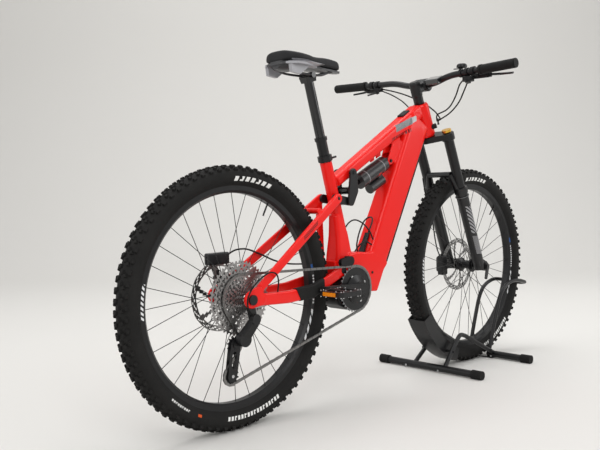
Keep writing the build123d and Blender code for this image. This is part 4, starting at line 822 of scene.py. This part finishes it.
def chain_tree():
    """Links set along a closed line, outer and inner links by turns."""
    tree, graph, given = new_tree("chain_links", [
        ("Geometry", "NodeSocketGeometry"), ("Links", "NodeSocketInt"), ("Outer", "NodeSocketObject"),
        ("Inner", "NodeSocketObject"), ("Material", "NodeSocketMaterial")])
    spaced = graph.add("GeometryNodeResampleCurve", {}, {"Curve": given["Geometry"], "Count": given["Links"]})
    ahead = graph.add("GeometryNodeInputTangent")
    facing = graph.add("FunctionNodeAlignRotationToVector", {"axis": "X", "pivot_axis": "Y"}, {"Vector": ahead})
    odd = graph.add("GeometryNodeInputIndex") % 2.0 > 0.5
    shapes = []
    for label, chosen in (("Outer", odd), ("Inner", 1.0 - odd)):
        info = graph.add("GeometryNodeObjectInfo", {}, {"Object": given[label]}, "Geometry")
        shapes.append(graph.add("GeometryNodeInstanceOnPoints", {}, {
            "Points": spaced, "Selection": chosen, "Instance": info, "Rotation": facing}))
    joined = tree.nodes.new("GeometryNodeJoinGeometry")
    for shape in shapes:
        tree.links.new(shape.socket, joined.inputs[0])
    close_tree(tree, graph, Signal(graph, joined.outputs[0]), given["Material"])
    return tree


def chain_piece():
    route = chain_route()
    length = sum((b - a).length for a, b in zip(route, route[1:] + route[:1]))
    line = bpy.data.curves.new("chain_line", "CURVE")
    line.dimensions = "3D"
    spline = line.splines.new("POLY")
    spline.points.add(len(route) - 1)
    for point, place in zip(spline.points, route):
        point.co = (*place, 1.0)
    spline.use_cyclic_u = True
    outer = link_mesh("outer_link", 0.00185, 0.62, 0.0008)
    inner = link_mesh("inner_link", 0.0010, 0.62, 0.0008)
    links = 2 * round(length / PITCH / 2)
    mesh = run_tree("chain", chain_tree(), {"Links": links, "Outer": outer, "Inner": inner, "Material": CHAIN}, line)
    points, faces = mesh_parts(mesh)
    piece = make_piece("chain", points, faces, CHAIN, 30.0)
    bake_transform(piece)
    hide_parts("chain_front", "chain_rear")
    for piece in (outer, inner):
        bpy.data.objects.remove(piece)


chain_piece()


# ---- pedal pins and saddle ---------------------------------------------------------------------
def pedal_pins(name, node, body):
    centre = middle(node)
    low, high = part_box(node)
    outer_y = high[1] if abs(high[1]) > abs(low[1]) else low[1]
    middle_y = (outer_y / abs(outer_y)) * 0.142
    points, faces = [], []
    for forward in (-0.042, -0.031, 0.0, 0.031, 0.042):
        for across in (-0.040, -0.020, 0.020, 0.040):
            if abs(forward) == 0.031 and abs(across) < 0.03:
                continue
            for up in (-1, 1):
                foot = Vector((centre.x + forward, middle_y + across, centre.z + up * 0.007))
                add_part(points, faces, rod_points(foot, foot + Vector((0, 0, up * 0.0038)), 0.0019, 8, 0.0014))
    pins = make_piece(name, points, faces, machined(name + "_steel", (0.75, 0.75, 0.76), 0.25, centre), 40.0)
    return settle(pins, body, "steel")


pedal_pins("pedal_right_pins", "pedal_right", "pedal_right")
pedal_pins("pedal_left_pins", "pedal_left", "pedal_left")


def saddle_piece():
    """A crowned saddle pad with a nose, a shallow channel and rolled edges."""
    low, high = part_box("saddle_pad")
    length = high[0] - low[0]
    outline = [(0.0, 0.020), (0.02, 0.044), (0.06, 0.058), (0.12, 0.067), (0.20, 0.0712), (0.30, 0.067),
               (0.40, 0.054), (0.50, 0.040), (0.62, 0.029), (0.75, 0.0235), (0.88, 0.020), (0.955, 0.0165),
               (0.99, 0.010), (1.0, 0.004)]
    sections = []
    count = SADDLE_SIDES
    for share, half in outline:
        waist = max(0.0, math.sin(math.pi * min(share / 0.75, 1.0)))
        top = high[2] - 0.0015 - 0.013 * waist * 0.55
        top -= 0.006 * max(0.0, share - 0.72) / 0.28
        bottom = low[2] + 0.001
        if share > 0.975 or share < 0.01:
            top -= 0.010
            bottom += 0.004
        ring = []
        for step in range(count):
            angle = TURN * step / count
            across = math.cos(angle)
            up = math.sin(angle)
            wide = half * math.copysign(abs(across) ** 0.62, across)
            if up >= 0:
                crown = (top - bottom) * (0.34 + 0.66 * abs(up) ** 0.55)
                channel = 0.0042 * math.exp(-(wide / 0.007) ** 2) if 0.12 < share < 0.8 else 0.0
                tall = bottom + crown - channel
            else:
                tall = bottom + (top - bottom) * 0.34 * (1 - abs(up) ** 0.8)
                wide *= 1.0 - 0.10 * abs(up)
            ring.append(Vector((low[0] + 0.0008 + (length - 0.0016) * share, wide, tall)))
        sections.append(ring)
    piece = make_piece("saddle_cover", *loft_points(sections), saddle_finish(), 80.0)
    smooth = piece.modifiers.new("round", "SUBSURF")
    smooth.levels = smooth.render_levels = 2
    return settle(piece, "saddle", "saddle_cover", "saddle_pad")


saddle_piece()


# ---- softened forgings and welded tubes --------------------------------------------------------
def placed_mesh(nodes):
    """The points and faces of modelled nodes, in the shared frame."""
    points, faces = [], []
    for name in nodes:
        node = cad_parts[name]
        own = [node.matrix_world @ vertex.co for vertex in node.data.vertices]
        add_part(points, faces, (own, [tuple(face.vertices) for face in node.data.polygons]))
    return points, faces


def softened(name, body, slot, material, voxel, rounds, nodes, keep=1.0):
    """One skin over modelled nodes, with blended joints and rounded edges."""
    piece = make_piece(name, *placed_mesh(nodes), material)
    skin = piece.modifiers.new("skin", "REMESH")
    skin.mode = "VOXEL"
    skin.voxel_size = voxel
    ease = piece.modifiers.new("ease", "SMOOTH")
    ease.factor = 0.5
    ease.iterations = rounds
    if keep < 1.0:
        lighter = piece.modifiers.new("lighter", "DECIMATE")
        lighter.ratio = keep
    bpy.context.view_layer.update()
    mesh = bpy.data.meshes.new_from_object(piece.evaluated_get(bpy.context.evaluated_depsgraph_get()))
    piece.modifiers.clear()
    piece.data = mesh
    mesh.shade_smooth()
    mesh.set_sharp_from_angle(angle=math.radians(60))
    return settle(piece, body, slot, *nodes)


softened("frame_shell", "frame", "red_paint", FRAME_RED, 0.0024, 5,
         ("head_tube", "top_tube", "seat_tube", "down_tube"), 0.45)
softened("chainstay_shell", "swingarm", "red_paint", RED, 0.0020, 4, ("chainstays",), 0.6)
softened("seatstay_shell", "swingarm", "red_paint", STAY_RED, 0.0020, 4, ("seatstays",), 0.6)
softened("crown_forging", "steering", "black_metal", BLACK, 0.0018, 6, ("fork_crown",), 0.7)
softened("rocker_forging", "rocker", "black_metal", BLACK, 0.0013, 5, ("rocker",))
softened("link_forging", "link", "black_metal", BLACK, 0.0013, 5, ("link",))
softened("stem_forging", "steering", "black_metal", BLACK, 0.0014, 5, ("stem",))


# ---- added trim ------------------------------------------------------------------------------
def trim(name, body, slot, material, shapes, smooth=40.0):
    points, faces = [], []
    for shape in shapes:
        add_part(points, faces, shape)
    return settle(make_piece(name, points, faces, material, smooth), body, slot)


def cover_piece(name, node, body, slot, material, cuts, thickness):
    """A moulded cover that follows part of a modelled node; cuts are (point, outward normal)."""
    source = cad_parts[node]
    shape = bmesh.new()
    shape.from_mesh(source.data)
    shape.transform(source.matrix_world)
    for point, normal in cuts:
        bmesh.ops.bisect_plane(shape, geom=shape.verts[:] + shape.edges[:] + shape.faces[:], plane_co=point,
                               plane_no=normal, clear_outer=True)
    bmesh.ops.remove_doubles(shape, verts=shape.verts, dist=1e-6)
    shape.normal_update()
    lifted = {vertex: vertex.co + vertex.normal * 0.0004 for vertex in shape.verts}
    for vertex, place in lifted.items():
        vertex.co = place
    bmesh.ops.solidify(shape, geom=shape.faces[:], thickness=-thickness)
    bmesh.ops.recalc_face_normals(shape, faces=shape.faces)
    mesh = bpy.data.meshes.new(name)
    shape.to_mesh(mesh)
    shape.free()
    mesh.materials.append(material)
    piece = bpy.data.objects.new(name, mesh)
    bpy.context.scene.collection.objects.link(piece)
    mesh.shade_smooth()
    mesh.set_sharp_from_angle(angle=math.radians(40))
    return settle(piece, body, slot)


cover_piece("stay_protector", "chainstays", "swingarm", "soft_rubber", RUBBER,
            [(at(318, 0, 0), (1, 0, 0)), (at(196, 0, 352), (-0.86, 0, -0.5)), (at(0, -30, 0), (0, 1, 0))], 0.0016)

silver = machined("bolt_steel", (0.62, 0.62, 0.63), 0.24, REAR_AXLE)
cage_side = COG_LINE - 0.0067
trim("derailleur_bolts", "swingarm", "steel", silver, [
    rod_points((middle(node).x, cage_side, middle(node).z), (middle(node).x, cage_side - 0.0022, middle(node).z),
               0.0045, 14) for node in ("upper_jockey", "lower_jockey")])
trim("stand_bolts", "stand", "steel", silver, [
    rod_points(at(x, y, z), at(x + step, y, z - 1.5), 0.0035, 10)
    for x, y, z, step in ((914, 96, 10, -4.5), (914, -48, 10, -4.5), (1255, 60, 10, -4.5), (1255, -60, 10, -4.5))])
axis = Vector((-math.cos(math.radians(67.5)), 0, math.sin(math.radians(67.5))))
for side in (-1, 1):
    foot = at(1162.3, side * 67, 364.5)
    seal = foot + axis * ((0.655 - foot.z) / axis.z)
    trim("seal_ring_" + ("right" if side < 0 else "left"), "fork_lower", "steel",
         machined("seal_grey_" + ("right" if side < 0 else "left"), (0.22, 0.22, 0.23), 0.35, seal),
         [rod_points(seal + axis * 0.0065, seal + axis * 0.0090, 0.0246, 40),
          rod_points(seal - axis * 0.0180, seal - axis * 0.0160, 0.0256, 40)])


def shell_finish():
    """Saddle shell: pale grey wings, and a dark smoky middle with painted shade that darkens it towards the bottom."""
    shell = Finish("saddle_shell_grey", (0.30, 0.30, 0.32), 0.35, Specular_IOR_Level=0.35)
    x, y, z = shell.axes(at(178, 0, 1000))
    # painted shade: the dark smoky middle is lighter near the top and darker towards the bottom
    dark = shell.tint((0.010, 0.010, 0.011), (0.045, 0.045, 0.048), (z * 26.0) + shell.noise(40.0, 3.0) * 0.2)
    wing = ((y.maths("ABSOLUTE") + x * 0.12) > 0.042) * (x < 0.135)
    pale = shell.tint((0.26, 0.26, 0.28), (0.40, 0.40, 0.42), shell.noise(30.0, 3.0))
    shell.set("Base Color", shell.tint(dark, pale, wing))
    shell.set("Roughness", 0.3 + shell.noise(180.0, 2.0) * 0.12)
    return shell.material


def saddle_shell():
    """A shell that hangs under the rear of the pad like a shallow bowl."""
    low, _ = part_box("saddle_pad")
    sections = []
    count = 24
    for step in range(15):
        share = step / 14
        x = low[0] + 0.003 + 0.150 * share
        spread = math.sin(math.pi / 2 * min(1.0, share * 2.6 + 0.10))
        half = 0.014 + 0.056 * spread - 0.012 * max(0.0, share - 0.6) / 0.4
        drop = 0.030 * math.sin(math.pi * min(1.0, share * 0.80 + 0.20)) ** 0.8 * (1.0 - 0.75 * share) + 0.0015
        ring = []
        for turn in range(count):
            across = math.cos(math.pi * turn / (count - 1))
            depth = drop * (1.0 - abs(across) ** 2.6)
            ring.append(Vector((x, half * across, low[2] + 0.003 - depth)))
        ring += [Vector((x, half * 0.96 * across, low[2] + 0.0045)) for across in (-1.0, 1.0)]
        sections.append(ring)
    shell = shell_finish()
    dress(shell, "saddle_base")
    settle(make_piece("saddle_shell", *loft_points(sections), shell, 50.0), "saddle", "black_plastic")


saddle_shell()


def shock_finish():
    """Satin charcoal shock with fine turned bands, a pale band and a small red patch."""
    body = Finish("shock_charcoal", (0.012, 0.012, 0.013), 0.34, Specular_IOR_Level=0.4, Coat_Weight=0.15)
    x, y, z = body.axes(middle("shock_body"))
    along = x * 0.902 + z * 0.432
    bands = (along * 170.0 % 1.0) > 0.55
    base = body.tint((0.007, 0.007, 0.0075), (0.030, 0.030, 0.032), bands)
    rings = along.between(-0.0475, -0.0445).maths("MAXIMUM", along.between(0.040, 0.043))
    base = body.tint(base, (0.26, 0.26, 0.27), rings)
    patch = along.between(0.004, 0.020) * (y < -0.012) * (z - x * 0.479).between(-0.012, 0.002)
    body.set("Base Color", body.tint(base, (0.45, 0.02, 0.014), patch))
    body.set("Roughness", 0.28 + body.noise(160.0, 2.0) * 0.14)
    body.bump(bands, 0.0004, 0.5)
    return body.material


dress(shock_finish(), "shock_body")


def ribbed_grip():
    """Soft grip rubber with closed rings along the bar."""
    grip = Finish("ribbed_grip", (0.008, 0.008, 0.008), 0.7, Specular_IOR_Level=0.2)
    _, y, _ = grip.axes()
    ribs = (y * 260.0 % 1.0) > 0.45
    grip.set("Base Color", grip.tint((0.005, 0.005, 0.005), (0.015, 0.015, 0.015), ribs * 0.7 + grip.noise(60.0) * 0.3))
    grip.set("Roughness", 0.6 + grip.noise(200.0) * 0.2)
    grip.bump(ribs, 0.0006, 0.8)
    return grip.material


dress(ribbed_grip(), "grips")

cover_points, cover_faces = placed_mesh(("battery_cover",))
low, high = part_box("battery_cover")
along = Vector((high[0] - low[0], 0, high[2] - low[2])).normalized()
outward = Vector((along.z, 0, -along.x))
trim("cover_strip", "frame", "black_plastic", PLASTIC,
     [([Vector((point.x, point.y * 1.06, point.z)) + outward * 0.0035 for point in cover_points], cover_faces)])
bolt_angles = [TURN * (step + 0.3) / 4 for step in range(4)]
trim("ring_bolts", "crankset", "steel", silver, [
    rod_points(around_axle(BRACKET, 0.043, angle, CHAIN_LINE - 0.001),
               around_axle(BRACKET, 0.043, angle, CHAIN_LINE - 0.0045), 0.0048, 14) for angle in bolt_angles])


# ---- room, light and camera --------------------------------------------------------------------
def studio():
    wall = Finish("pale_paper", (0.67, 0.66, 0.64), 0.9)
    wall.set("Base Color", wall.tint((0.665, 0.655, 0.633), (0.675, 0.665, 0.643), wall.noise(1.5, 2.0)))
    depth = Vector((math.cos(math.radians(CAMERA_YAW)), math.sin(math.radians(CAMERA_YAW)), 0))
    across = Vector((depth.y, -depth.x, 0))
    profile = [(-6.0, 0.0), (3.2, 0.0)]
    for step in range(1, 13):
        angle = math.radians(90 * step / 12)
        profile.append((3.2 + 2.4 * math.sin(angle), 2.4 - 2.4 * math.cos(angle)))
    profile.append((5.6, 7.0))
    points, faces = [], []
    for forward, up in profile:
        for side in (-9.0, 9.0):
            points.append(depth * forward + across * side + Vector((0, 0, up)))
    for row in range(len(profile) - 1):
        faces.append((2 * row, 2 * row + 1, 2 * row + 3, 2 * row + 2))
    paper = make_piece("backdrop", points, faces, wall.material, 80.0)
    subject = Vector((0, 0, 0.5))
    wall_middle = depth * 5.0 + Vector((0, 0, 1.6))
    for name, place, size, power, aim in (
            ("key", (-2.6, -3.2, 3.4), 2.6, 78.0, subject), ("fill", (-3.4, 1.6, 2.4), 2.4, 30.0, subject),
            ("front", (2.8, -2.6, 2.2), 2.0, 34.0, subject), ("top", (0.3, 0.2, 4.2), 3.6, 62.0, subject),
            ("wash", (1.2, 1.2, 4.6), 3.0, 70.0, wall_middle)):
        lamp = bpy.data.lights.new(name, "AREA")
        lamp.shape = "SQUARE"
        lamp.size = size
        lamp.energy = power
        holder = bpy.data.objects.new(name, lamp)
        holder.location = place
        holder.rotation_euler = (aim - Vector(place)).to_track_quat("-Z", "Y").to_euler()
        bpy.context.scene.collection.objects.link(holder)
    world = bpy.data.worlds.new("studio")
    world.use_nodes = True
    world.node_tree.nodes["Background"].inputs["Color"].default_value = (1.0, 0.995, 0.985, 1.0)
    world.node_tree.nodes["Background"].inputs["Strength"].default_value = 0.62
    bpy.context.scene.world = world
    bpy.context.scene.view_settings.view_transform = "Standard"


def camera():
    yaw, pitch, roll = [math.radians(angle) for angle in (CAMERA_YAW, CAMERA_PITCH, CAMERA_ROLL)]
    forward = Vector((math.cos(pitch) * math.cos(yaw), math.cos(pitch) * math.sin(yaw), math.sin(pitch)))
    right = forward.cross(Vector((0, 0, 1))).normalized()
    up = right.cross(forward)
    right, up = (right * math.cos(roll) + up * math.sin(roll), up * math.cos(roll) - right * math.sin(roll))
    data = bpy.data.cameras.new("camera")
    data.sensor_width = 36.0
    data.lens = CAMERA_LENS
    data.clip_end = 60.0
    holder = bpy.data.objects.new("camera", data)
    turned = Matrix((right, up, -forward)).transposed().to_4x4()
    holder.matrix_world = Matrix.Translation(Vector(CAMERA_PLACE)) @ turned
    bpy.context.scene.collection.objects.link(holder)
    bpy.context.scene.camera = holder


studio()
camera()
